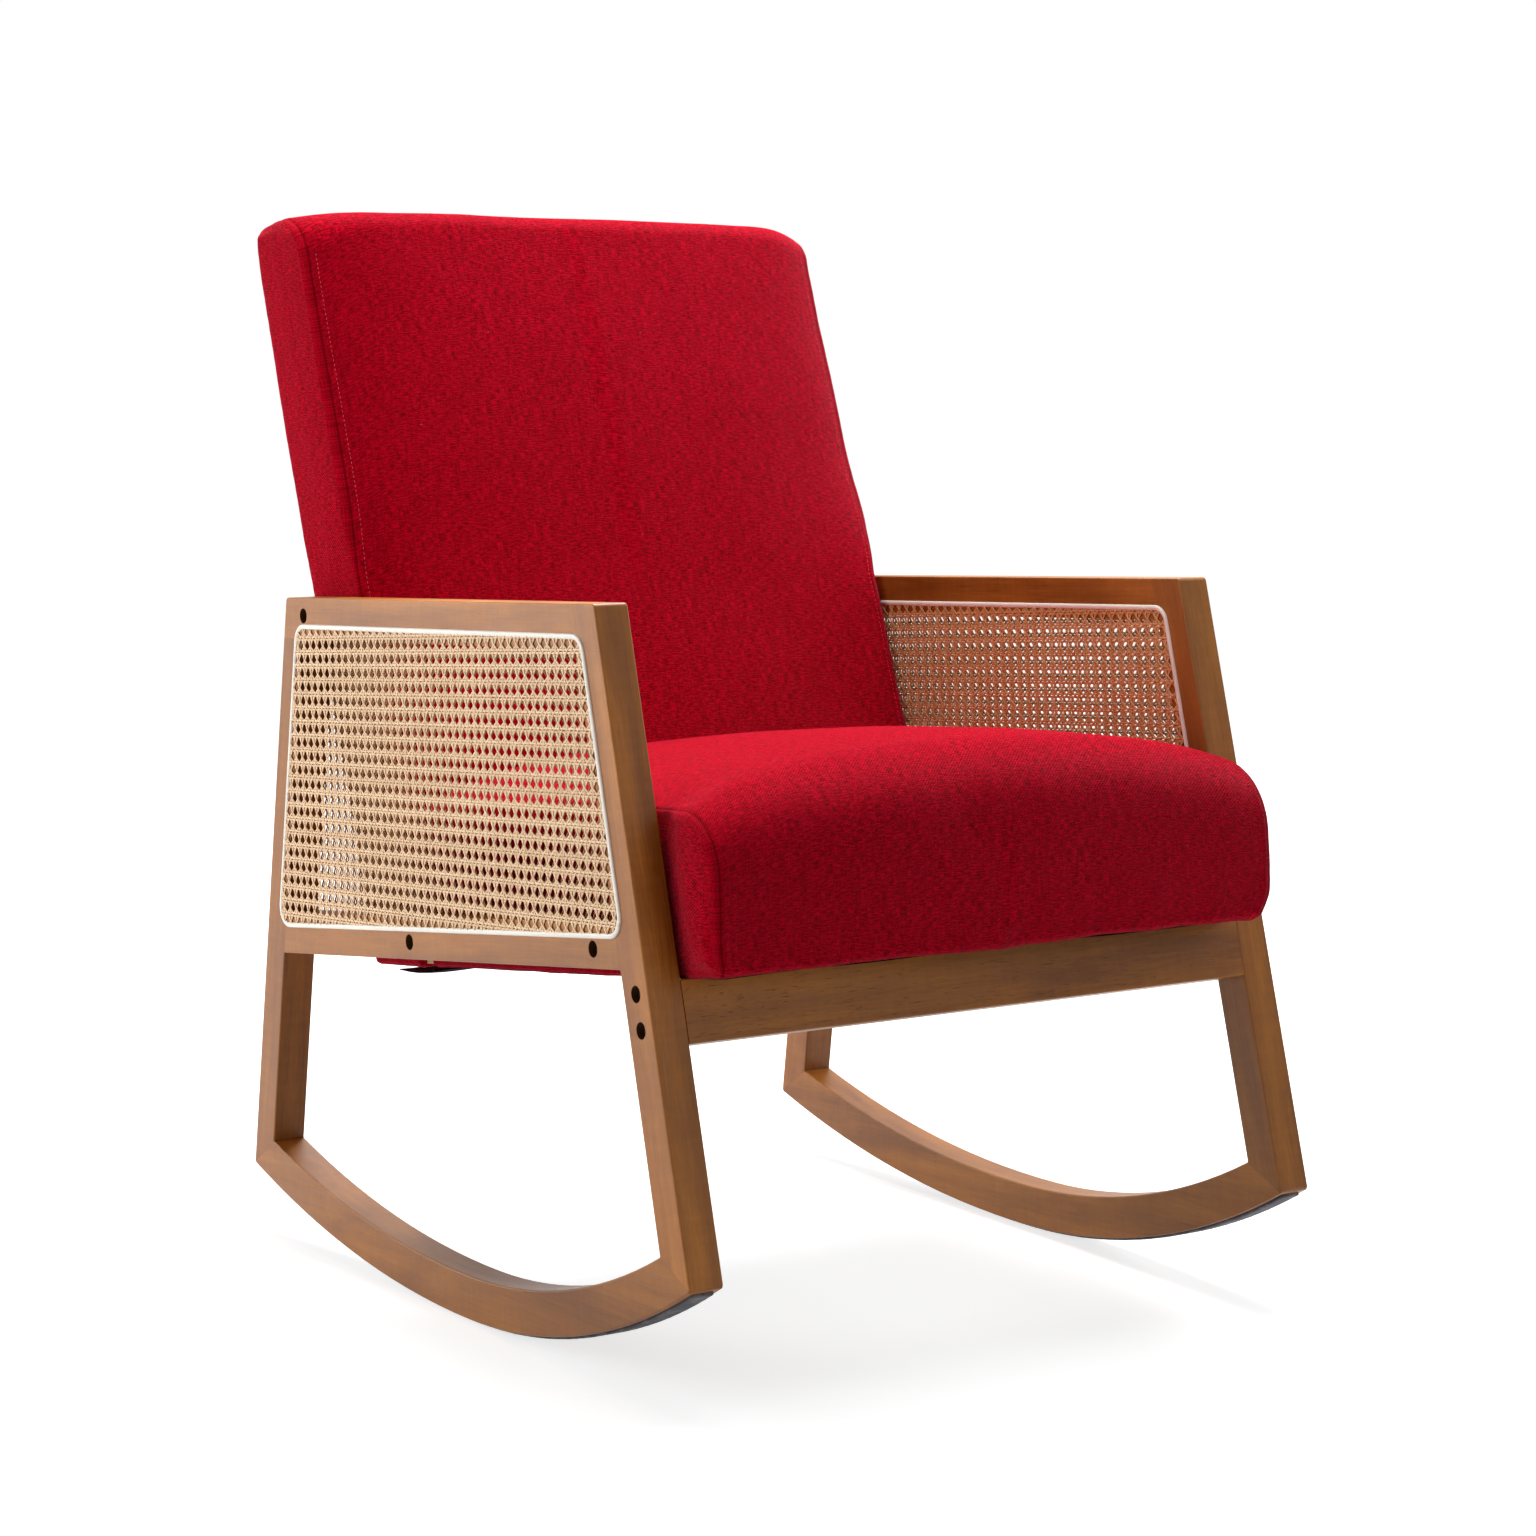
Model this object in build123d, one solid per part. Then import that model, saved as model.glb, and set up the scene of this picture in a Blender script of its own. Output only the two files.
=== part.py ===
from build123d import *
import os
from math import atan2, cos, hypot, radians, sin, sqrt

os.makedirs("parts", exist_ok=True)

# Rocking chair: two wooden side frames with cane panels, a front rail between them,
# and one upholstered seat-and-back unit bolted to both frames.
# X runs across the chair, -Y is the front, Z is up. All sizes are millimetres.
# Drawing frame: the floor is Z = 0 and Y = 0 is the lowest point of the rockers.
# The finished pieces are moved so that Y = 0 is the middle of the whole chair.

# ---- side frames ----
FRAME_W = 640.0            # across the outer faces of the two side frames
FRAME_T = 32.0             # thickness of every side frame member
MEMBER_W = 38.0            # width of every side frame member
FELT_T = 2.5               # anti-slip strip under each rocker
FELT_W = 20.0
FELT_END_GAP = 8.0         # the strip stops this far from the rocker's ends

ARM_BACK = (318.0, 605.5)      # top corner of the side frame at the back (Y, Z)
ARM_FRONT = (-245.5, 632.0)    # top corner at the front
FRONT_LEAN = 15.17             # degrees from upright, feet forward
BACK_LEAN = 8.15               # degrees from upright, feet backward
SIDE_RAIL_BACK = (328.0, 269.5)    # underside of the rail below the cane, at the back leg
SIDE_RAIL_RISE = 6.68              # degrees, rising to the front

ROCKER_LOW_Y = 4.0         # where the rocker touches the floor
ROCKER_R_BACK = 1365.0     # flatter behind the touching point
ROCKER_R_FRONT = 745.0     # tighter in front of it
ROCKER_BLEND = 1.5         # degrees ahead of the lowest point where the radii meet
ROCKER_DEPTH = 38.5

CORNER_R = 4.0             # the frame's outer corners
ARRIS_R = 1.6              # long edges
WINDOW_R = 1.2             # the opening's inner corners

# ---- cane panels ----
GROOVE_INSET = 25.0        # frame's outer edge to the groove
GROOVE_W = 3.6
GROOVE_D = 5.0
GROOVE_R = 15.0            # groove corner radius, outer edge
SPLINE_CLEAR = 0.1
SPLINE_PROUD = 1.6         # the spline's top above the frame's face
CANE_T = 1.2

# ---- front rail ----
RAIL_BOTTOM_Z = 287.0
RAIL_H = 52.0
RAIL_T = 36.0

# ---- seat unit, in seat axes: S runs back along the seat, M is square to it ----
SEAT_TILT = 7.0
SEAT_M_BOTTOM = 295.5      # underside of the seat cover
SEAT_FRAME_M = 297.5       # underside of the seat's wooden frame
SEAT_RAIL_H = 46.0
SEAT_RAIL_T = 22.0
SEAT_FRAME_Y = -352.0      # front face of the wooden frame, at its underside
UNIT_FRAME_HALF = 277.0    # half width of the wooden unit
UNIT_HALF = 283.0          # half width of the upholstery
WEB_T = 1.5
WEB_W = 50.0

# ---- back unit, in back axes: T runs up along the back, N points forward ----
BACK_TILT = 20.0
BACK_TOP_T = 1036.0
BACK_REAR_N = -108.0
BACK_CROWN = 7.0           # bow of the front face across the chair
STILE_FRONT_N = -44.0
STILE_REAR_N = -106.0
STILE_TOP_T = 1022.0
BACK_RAIL_H = 50.0
BACK_CORNER_R = 30.0
BACK_EDGE_R = 20.0

# ---- hardware ----
BOLT_D = 8.0
BOLT_HEAD_D = 13.0
BOLT_HEAD_H = 8.0
BOLT_SOCKET = 6.0          # across the flats of the hexagon socket
BORE_D = 14.0              # counterbore in the side frame
BORE_DEPTH = 14.0
HOLE_CLEAR = 0.5
SIDE_BOLT_L = 45.0
RAIL_BOLT_L = 60.0
INSERT_D = 12.0
INSERT_L = 18.0
BARREL_D = 10.0
BARREL_L = 24.0
SPACER_D = 16.0
DOWEL_D = 8.0
DOWEL_L = 36.0
DOWEL_CLEAR = 0.1
FIT = 0.3                  # clearance of upholstery to wood

BOLTS_SIDE_RAIL = ((75.0, 314.5), (-243.0, 352.5))
BOLT_ARM = (281.5, 590.5)
BOLTS_FRONT_LEG = ((-309.5, 325.5), (-317.3, 297.5))

HALF = FRAME_W / 2
INNER = HALF - FRAME_T
SEAT_BACK_DIR = (cos(radians(SEAT_TILT)), -sin(radians(SEAT_TILT)))
SEAT_UP_DIR = (sin(radians(SEAT_TILT)), cos(radians(SEAT_TILT)))
BACK_UP_DIR = (sin(radians(BACK_TILT)), cos(radians(BACK_TILT)))
BACK_FWD_DIR = (-cos(radians(BACK_TILT)), sin(radians(BACK_TILT)))


# ---- plane geometry in the side view, points are (Y, Z) ----
def go(p, d, length):
    return (p[0] + d[0] * length, p[1] + d[1] * length)


def unit(a, b):
    length = hypot(b[0] - a[0], b[1] - a[1])
    return ((b[0] - a[0]) / length, (b[1] - a[1]) / length)


def dot(a, b):
    return a[0] * b[0] + a[1] * b[1]


class Ray:
    """A straight edge in the side view: a point and a unit direction."""

    def __init__(self, p, d):
        self.p = p
        self.d = d

    def inset(self, amount):
        """The parallel edge, to the left of the direction for a positive amount."""
        return Ray(go(self.p, (-self.d[1], self.d[0]), amount), self.d)

    def meet(self, other):
        det = self.d[0] * other.d[1] - self.d[1] * other.d[0]
        q = (other.p[0] - self.p[0], other.p[1] - self.p[1])
        s = (q[0] * other.d[1] - q[1] * other.d[0]) / det
        return go(self.p, self.d, s)

    def meet_circle(self, centre, radius):
        """The lower of the two crossings with a circle."""
        q = (self.p[0] - centre[0], self.p[1] - centre[1])
        b = dot(q, self.d)
        root = sqrt(b * b - dot(q, q) + radius * radius)
        hits = [go(self.p, self.d, -b - root), go(self.p, self.d, -b + root)]
        return min(hits, key=lambda h: h[1])


# the frame's outer edges, taken anticlockwise as seen from +X (Y to the right)
front_dir = (-sin(radians(FRONT_LEAN)), -cos(radians(FRONT_LEAN)))
back_dir = (-sin(radians(BACK_LEAN)), cos(radians(BACK_LEAN)))
edge_front = Ray(ARM_FRONT, front_dir)
edge_back = Ray(ARM_BACK, back_dir)
edge_top = Ray(ARM_BACK, unit(ARM_BACK, ARM_FRONT))
rise = radians(SIDE_RAIL_RISE)
edge_window = Ray(SIDE_RAIL_BACK, (cos(rise), -sin(rise)))
inner_front = edge_front.inset(MEMBER_W)
inner_back = edge_back.inset(MEMBER_W)
inner_top = edge_top.inset(MEMBER_W)
rail_top = edge_window.inset(MEMBER_W)

# the rocker's two radii meet where their centres are in line
centre_back = (ROCKER_LOW_Y, ROCKER_R_BACK)
blend_dir = (-sin(radians(ROCKER_BLEND)), -cos(radians(ROCKER_BLEND)))
centre_front = go(centre_back, blend_dir, ROCKER_R_BACK - ROCKER_R_FRONT)

toe = edge_front.meet_circle(centre_front, ROCKER_R_FRONT)
heel = edge_back.meet_circle(centre_back, ROCKER_R_BACK)
toe_in = inner_front.meet_circle(centre_front, ROCKER_R_FRONT - ROCKER_DEPTH)
heel_in = inner_back.meet_circle(centre_back, ROCKER_R_BACK - ROCKER_DEPTH)


def on_arc(centre, radius, a, b):
    """The point of an arc half way between the directions of a and b."""
    mid = unit(centre, ((a[0] + b[0]) / 2, (a[1] + b[1]) / 2))
    return go(centre, mid, radius)


def arc(centre, radius, a, b):
    a = go(centre, unit(centre, a), radius)
    b = go(centre, unit(centre, b), radius)
    m = on_arc(centre, radius, a, b)
    return ThreePointArc(yz(a), yz(m), yz(b))


def yz(p, x=0.0):
    return (x, p[0], p[1])


def rocker_edges(offset, heel_end, toe_end):
    """The rocker's curve, raised by offset, from the heel to the toe."""
    blend = go(centre_back, blend_dir, ROCKER_R_BACK - offset)
    edges = [arc(centre_back, ROCKER_R_BACK - offset, heel_end, blend)]
    edges.append(arc(centre_front, ROCKER_R_FRONT - offset, blend, toe_end))
    return edges


def prism(edges, x0, x1):
    """A solid from a closed outline in the side view, between two X planes."""
    return slab(make_face(edges).face(), x0, x1)


def polygon(points):
    return [Line(yz(a), yz(b)) for a, b in zip(points, points[1:] + points[:1])]


def across(points, x0, x1):
    return prism(polygon(points), x0, x1)


def rod(p, d, x0, x1):
    """A round bar along X."""
    length = abs(x1 - x0)
    middle = (x0 + x1) / 2
    return Pos(middle, p[0], p[1]) * Rot(0, 90, 0) * Cylinder(d / 2, length)


def seat_yz(s, m):
    return go(go((0, 0), SEAT_BACK_DIR, s), SEAT_UP_DIR, m)


def back_yz(n, t):
    return go(go((0, 0), BACK_UP_DIR, t), BACK_FWD_DIR, n)


def seat_level(m):
    return Ray(seat_yz(0, m), SEAT_BACK_DIR)


def back_level(n):
    return Ray(back_yz(n, 0), BACK_UP_DIR)


# ---- right-hand side frame (X > 0); the left one is its mirror ----
def side_frame():
    outline = [
        Line(yz(heel), yz(ARM_BACK)),
        Line(yz(ARM_BACK), yz(ARM_FRONT)),
        Line(yz(ARM_FRONT), yz(toe)),
        *rocker_edges(0, heel, toe),
    ]
    window = [
        Line(yz(heel_in), yz(inner_back.meet(edge_window))),
        Line(yz(inner_back.meet(edge_window)), yz(inner_front.meet(edge_window))),
        Line(yz(inner_front.meet(edge_window)), yz(toe_in)),
        *rocker_edges(ROCKER_DEPTH, heel_in, toe_in),
    ]
    panel = [inner_top, inner_front, rail_top, inner_back]
    panel_corners = [a.meet(b) for a, b in zip(panel, panel[1:] + panel[:1])]

    blank = prism(outline, INNER, HALF)
    upright = blank.edges().filter_by(Axis.X)
    blank = fillet(upright, CORNER_R)
    opening = prism(window, INNER - 1, HALF + 1)
    blank -= fillet(opening.edges().filter_by(Axis.X), WINDOW_R)
    flat = [f for f in blank.faces().filter_by(Axis.X)]
    blank = fillet([e for f in flat for e in f.edges()], ARRIS_R)
    blank -= across(panel_corners, INNER - 1, HALF + 1)
    blank -= spline_ring(0, HALF - GROOVE_D, HALF + 1)
    blank -= spline_ring(0, INNER - 1, INNER + GROOVE_D)

    for p in (*BOLTS_SIDE_RAIL, BOLT_ARM, *BOLTS_FRONT_LEG):
        blank -= rod(p, BOLT_D + HOLE_CLEAR, INNER - 1, HALF + 1)
        blank -= rod(p, BORE_D, HALF - BORE_DEPTH, HALF + 1)
    for place, direction in dowel_places():
        blank -= dowel(place, direction, 2 * DOWEL_CLEAR)

    far = 2000.0
    top_out = edge_top.p
    arm_zone = [
        go(top_out, edge_top.d, -far),
        go(top_out, edge_top.d, far),
        go(inner_top.p, inner_top.d, far),
        go(inner_top.p, inner_top.d, -far),
    ]
    arm_zone = [go(p, (0, 1), 60) if i < 2 else p for i, p in enumerate(arm_zone)]
    toe_cut = unit(toe_in, toe)
    heel_cut = unit(heel_in, heel)
    front_zone = [
        go(inner_top.meet(inner_front), inner_top.d, far),
        inner_top.meet(inner_front),
        toe_in,
        go(toe_in, toe_cut, far),
    ]
    back_zone = [
        inner_top.meet(inner_back),
        go(inner_top.meet(inner_back), inner_top.d, -far),
        go(heel_in, heel_cut, far),
        heel_in,
    ]
    rail_zone = [
        inner_back.meet(edge_window),
        inner_back.meet(rail_top),
        inner_front.meet(rail_top),
        inner_front.meet(edge_window),
    ]
    rocker_zone = [
        heel_in,
        go(heel_in, heel_cut, far),
        (0, -far),
        go(toe_in, toe_cut, far),
        toe_in,
        (centre_front[0], MEMBER_W * 5),
    ]
    zones = {
        "arm_rail": arm_zone,
        "front_leg": front_zone,
        "back_leg": back_zone,
        "side_rail": rail_zone,
        "rocker": rocker_zone,
    }
    return {
        name: blank & across(zone, INNER - 2, HALF + 2) for name, zone in zones.items()
    }


def panel_outline(inset, radius):
    """Closed rounded outline of the cane panel, inset from the frame's outer edges."""
    sides = [edge.inset(inset) for edge in (edge_top, edge_front, edge_window, edge_back)]
    corners = [a.meet(b) for a, b in zip(sides, sides[1:] + sides[:1])]
    face = Face(Wire.make_polygon([yz(c) for c in corners], close=True))
    return face.fillet_2d(radius, face.vertices())


def slab(face, x0, x1):
    if face.normal_at().X < 0:
        face = -face
    return Pos(x0, 0, 0) * extrude(face, amount=x1 - x0)


def spline_ring(clear, x0, x1):
    """The groove round a cane panel, or with a clearance the spline in it."""
    outer = panel_outline(GROOVE_INSET + clear, GROOVE_R - clear)
    inner = panel_outline(GROOVE_INSET + GROOVE_W - clear, GROOVE_R - GROOVE_W + clear)
    return slab(outer, x0, x1) - slab(inner, x0 - 1, x1 + 1)


def spline(outward):
    face = HALF if outward else INNER
    sign = 1 if outward else -1
    x0 = face - sign * (GROOVE_D - SPLINE_CLEAR)
    x1 = face + sign * SPLINE_PROUD
    ring = spline_ring(SPLINE_CLEAR, min(x0, x1), max(x0, x1))
    top = [f for f in ring.faces().filter_by(Axis.X) if abs(f.center().X - x1) < 0.01]
    return fillet(top[0].edges(), 1.2)


def cane(outward):
    sheet = panel_outline(GROOVE_INSET + GROOVE_W + SPLINE_CLEAR, GROOVE_R - GROOVE_W)
    if outward:
        return slab(sheet, HALF, HALF + CANE_T)
    return slab(sheet, INNER - CANE_T, INNER)


def dowel(place, direction, clear):
    """A cross-grain dowel, centred on the joint at mid thickness."""
    axis = Vector(0, direction[0], direction[1])
    plane = Plane(origin=(HALF - FRAME_T / 2, place[0], place[1]), z_dir=axis)
    return plane * Cylinder((DOWEL_D + clear) / 2, DOWEL_L + clear)


def between(a, b, share):
    return (a[0] + (b[0] - a[0]) * share, a[1] + (b[1] - a[1]) * share)


def dowel_places():
    """Two dowels across each of the six joints of a side frame."""
    joints = []
    top_front = (inner_top.meet(edge_front), inner_top.meet(inner_front))
    top_back = (inner_top.meet(inner_back), inner_top.meet(edge_back))
    rail_front = (inner_front.meet(edge_window), inner_front.meet(rail_top))
    rail_back = (inner_back.meet(edge_window), inner_back.meet(rail_top))
    for a, b in (top_front, top_back, rail_front, rail_back):
        across_joint = unit(a, b)
        joints += [(between(a, b, s), (-across_joint[1], across_joint[0])) for s in (0.3, 0.7)]
    for a, b in ((toe_in, toe), (heel_in, heel)):
        across_joint = unit(a, b)
        joints += [(between(a, b, s), (-across_joint[1], across_joint[0])) for s in (0.36, 0.62)]
    return joints


def felt_strip():
    """Strip under the rocker, following both radii, short of its ends."""
    toe_angle = FELT_END_GAP / ROCKER_R_FRONT
    heel_angle = FELT_END_GAP / ROCKER_R_BACK

    def turned(centre, p, angle):
        v = (p[0] - centre[0], p[1] - centre[1])
        c = cos(angle)
        s = sin(angle)
        return (centre[0] + v[0] * c - v[1] * s, centre[1] + v[0] * s + v[1] * c)

    toe_end = turned(centre_front, toe, toe_angle)
    heel_end = turned(centre_back, heel, -heel_angle)
    top = rocker_edges(0, heel_end, toe_end)
    under = rocker_edges(-FELT_T, heel_end, toe_end)
    heel_line = Line(top[0] @ 0, under[0] @ 0)
    toe_line = Line(top[1] @ 1, under[1] @ 1)
    middle = HALF - FRAME_T / 2
    return prism([*top, *under, heel_line, toe_line], middle - FELT_W / 2, middle + FELT_W / 2)


# ---- front rail ----
def front_rail():
    down = edge_front.d
    back = (-down[1], down[0])
    share = (ARM_FRONT[1] - RAIL_BOTTOM_Z) / -down[1]
    foot = go(ARM_FRONT, down, share)
    head = go(foot, down, -RAIL_H)
    points = [foot, head, go(head, back, RAIL_T), go(foot, back, RAIL_T)]
    rail = across(points, -INNER, INNER)
    rail = fillet(rail.edges().filter_by(Axis.X), ARRIS_R)
    for p in BOLTS_FRONT_LEG:
        for side in (-1, 1):
            end = side * (HALF - BORE_DEPTH - RAIL_BOLT_L - 3)
            rail -= rod(p, BOLT_D + HOLE_CLEAR, end, side * (INNER + 1))
            rail -= barrel(p, side, 2 * DOWEL_CLEAR)
    return rail


def barrel(p, side, clear):
    """Barrel nut bored in from the back of the front rail, square to its face."""
    back = (cos(radians(FRONT_LEAN)), -sin(radians(FRONT_LEAN)))
    x = side * (HALF - BORE_DEPTH - RAIL_BOLT_L + 12)
    start = go(p, back, -BARREL_L / 2 - clear / 2)
    plane = Plane(origin=(x, start[0], start[1]), z_dir=Vector(0, back[0], back[1]))
    length = BARREL_L if clear == 0 else RAIL_T
    shape = Cylinder((BARREL_D + clear) / 2, length, align=(Align.CENTER, Align.CENTER, Align.MIN))
    return plane * shape


# ---- wooden frame of the seat and back ----
seat_low = seat_level(SEAT_FRAME_M)
seat_high = seat_level(SEAT_FRAME_M + SEAT_RAIL_H)
stile_front = back_level(STILE_FRONT_N)
stile_rear = back_level(STILE_REAR_N)
front_s = dot((SEAT_FRAME_Y, seat_low.meet(Ray((SEAT_FRAME_Y, 0), (0, 1)))[1]), SEAT_BACK_DIR)


def seat_bar(s0, s1):
    low = SEAT_FRAME_M
    high = SEAT_FRAME_M + SEAT_RAIL_H
    return [seat_yz(s0, low), seat_yz(s1, low), seat_yz(s1, high), seat_yz(s0, high)]


def seat_front_rail():
    return across(seat_bar(front_s, front_s + SEAT_RAIL_T), -UNIT_FRAME_HALF, UNIT_FRAME_HALF)


def seat_side_rail():
    points = [
        seat_yz(front_s + SEAT_RAIL_T, SEAT_FRAME_M),
        seat_low.meet(stile_front),
        seat_high.meet(stile_front),
        seat_yz(front_s + SEAT_RAIL_T, SEAT_FRAME_M + SEAT_RAIL_H),
    ]
    bar = across(points, UNIT_FRAME_HALF - SEAT_RAIL_T, UNIT_FRAME_HALF)
    for p in BOLTS_SIDE_RAIL:
        bar -= rod(p, INSERT_D + 2 * DOWEL_CLEAR, UNIT_FRAME_HALF - SEAT_RAIL_T - 1, UNIT_FRAME_HALF + 1)
    return bar


def back_stile():
    points = [
        seat_low.meet(stile_front),
        seat_low.meet(stile_rear),
        back_yz(STILE_REAR_N, STILE_TOP_T - 8),
        back_yz(STILE_REAR_N + 8, STILE_TOP_T),
        back_yz(STILE_FRONT_N, STILE_TOP_T),
    ]
    bar = across(points, UNIT_FRAME_HALF - SEAT_RAIL_T, UNIT_FRAME_HALF)
    return bar - rod(
        BOLT_ARM, INSERT_D + 2 * DOWEL_CLEAR, UNIT_FRAME_HALF - SEAT_RAIL_T - 1, UNIT_FRAME_HALF + 1
    )


def back_cross(t0, t1, n0, n1):
    points = [back_yz(n0, t0), back_yz(n1, t0), back_yz(n1, t1), back_yz(n0, t1)]
    half = UNIT_FRAME_HALF - SEAT_RAIL_T
    return across(points, -half, half)


def back_bottom_rail():
    rear_in = back_level(STILE_REAR_N + SEAT_RAIL_T)
    top_t = dot(seat_high.meet(stile_rear), BACK_UP_DIR) + SEAT_RAIL_H / 2
    points = [
        seat_low.meet(rear_in),
        seat_low.meet(stile_rear),
        back_yz(STILE_REAR_N, top_t),
        back_yz(STILE_REAR_N + SEAT_RAIL_T, top_t),
    ]
    half = UNIT_FRAME_HALF - SEAT_RAIL_T
    return across(points, -half, half)


BACK_MID_T = 520.0


def back_mid_rail():
    return back_cross(BACK_MID_T, BACK_MID_T + BACK_RAIL_H, STILE_FRONT_N - SEAT_RAIL_T, STILE_FRONT_N)


def back_top_rail():
    return back_cross(
        STILE_TOP_T - BACK_RAIL_H, STILE_TOP_T, STILE_FRONT_N - SEAT_RAIL_T, STILE_FRONT_N
    )


def corner_blocks():
    """Triangular glue blocks in the four corners of the seat frame."""
    leg = 60.0
    low = SEAT_FRAME_M + 6
    high = SEAT_FRAME_M + SEAT_RAIL_H - 6
    inner_x = UNIT_FRAME_HALF - SEAT_RAIL_T
    s0 = front_s + SEAT_RAIL_T
    s1 = dot(seat_low.meet(stile_front), SEAT_BACK_DIR)
    s1 -= 4
    base = Plane(origin=(0, *seat_yz(0, low)), x_dir=(1, 0, 0), z_dir=(0, *SEAT_UP_DIR))
    blocks = []
    for sx in (-1, 1):
        for s, step in ((s0, 1), (s1, -1)):
            tri = Polygon(
                (sx * inner_x, s), (sx * (inner_x - leg), s), (sx * inner_x, s + step * leg), align=None
            )
            blocks.append(base * extrude(tri, amount=high - low, dir=(0, 0, 1)))
    return blocks


def seat_webbing():
    """Five straps front to back and four across on top of them."""
    base = Plane(origin=(0, *seat_yz(0, SEAT_FRAME_M + SEAT_RAIL_H)), x_dir=(1, 0, 0), z_dir=(0, *SEAT_UP_DIR))
    s0 = front_s + 4
    s1 = dot(seat_high.meet(stile_front), SEAT_BACK_DIR) - 6
    straps = []
    for i in range(5):
        x = (i - 2) * 100.0
        strap = Box(WEB_W, s1 - s0, WEB_T, align=(Align.CENTER, Align.MIN, Align.MIN))
        straps.append(base * Pos(x, s0, 0) * strap)
    for i in range(4):
        s = s0 + 75 + i * (s1 - s0 - 150) / 3
        strap = Box(2 * UNIT_FRAME_HALF - 8, WEB_W, WEB_T, align=(Align.CENTER, Align.CENTER, Align.MIN))
        straps.append(base * Pos(0, s, WEB_T) * strap)
    return straps


def back_webbing():
    """Elastic straps across the front of the back frame."""
    base = Plane(origin=(0, *back_yz(STILE_FRONT_N, 0)), x_dir=(1, 0, 0), z_dir=(0, *BACK_FWD_DIR))
    straps = []
    count = 5
    t0 = BACK_MID_T + BACK_RAIL_H + WEB_W
    t1 = STILE_TOP_T - BACK_RAIL_H - WEB_W
    for i in range(count):
        t = t0 + i * (t1 - t0) / (count - 1)
        strap = Box(2 * UNIT_FRAME_HALF - 8, WEB_W, WEB_T, align=(Align.CENTER, Align.CENTER, Align.MIN))
        straps.append(base * Pos(0, t, 0) * strap)
    return straps


# ---- upholstery ----
CUSHION_M = SEAT_FRAME_M + SEAT_RAIL_H + 2 * WEB_T + 1.0     # underside of the seat foam
SEAT_FRONT_Y = -377.0
SEAT_SHOULDER = 62.0       # how far behind the front the rounding ends
SEAT_CROWN = (0.0, 484.0)      # highest line of the seat, mid chair (Y, M)
SEAT_SIDE_DROP = 44.0          # the seat's top is this much lower at its ends
SEAT_FRONT_Z = 432.0           # where the upright front starts to round over


def seat_section(x):
    """Side view of the seat cushion at a distance x from the middle of the chair."""
    share = (abs(x) / UNIT_HALF) ** 2.4
    drop = SEAT_SIDE_DROP * share
    low = seat_level(SEAT_M_BOTTOM)
    rear = back_level(BACK_CROWN * (1 - (x / UNIT_HALF) ** 2) + 1.2)
    bottom_front = low.meet(Ray((SEAT_FRONT_Y, 0), (0, 1)))
    front_top = (SEAT_FRONT_Y + 2 * share, SEAT_FRONT_Z - 12 * share)
    shoulder_m = SEAT_CROWN[1] - 18 - drop * 0.8
    shoulder = seat_level(shoulder_m).meet(Ray((SEAT_FRONT_Y + SEAT_SHOULDER, 0), (0, 1)))
    crown = seat_level(SEAT_CROWN[1] - drop).meet(Ray((SEAT_CROWN[0], 0), (0, 1)))
    rear_top = seat_level(SEAT_CROWN[1] - 4 - drop).meet(rear)
    bottom_rear = low.meet(rear)
    top = Spline(
        yz(front_top, x), yz(shoulder, x), yz(crown, x), yz(rear_top, x),
        tangents=[(0, 0, 1), (0, SEAT_BACK_DIR[0], SEAT_BACK_DIR[1] - 0.05)],
    )
    edges = [
        Line(yz(bottom_front, x), yz(front_top, x)),
        top,
        Line(yz(rear_top, x), yz(bottom_rear, x)),
        Line(yz(bottom_rear, x), yz(bottom_front, x)),
    ]
    return make_face(edges)


def seat_cushion():
    places = (-1.0, -0.6, 0.0, 0.6, 1.0)
    body = loft([seat_section(UNIT_HALF * p) for p in places])
    rear = back_level(BACK_REAR_N)
    front = back_level(BACK_CROWN + 2)
    skirt = across(
        [
            seat_level(SEAT_M_BOTTOM).meet(front),
            seat_level(SEAT_M_BOTTOM).meet(rear),
            seat_level(CUSHION_M - 0.6).meet(rear),
            seat_level(CUSHION_M - 0.6).meet(front),
        ],
        -UNIT_HALF,
        UNIT_HALF,
    )
    body += skirt
    room = UNIT_FRAME_HALF + FIT
    rear_in = back_level(STILE_REAR_N - FIT)
    pocket = across(
        [
            seat_yz(front_s - FIT, SEAT_M_BOTTOM - 10),
            seat_level(SEAT_M_BOTTOM - 10).meet(rear_in),
            seat_level(CUSHION_M).meet(rear_in),
            seat_yz(front_s - FIT, CUSHION_M),
        ],
        -room,
        room,
    )
    body -= pocket
    for p in BOLTS_SIDE_RAIL:
        body -= rod(p, SPACER_D + 2 * FIT, -HALF, HALF)
    return body


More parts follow.
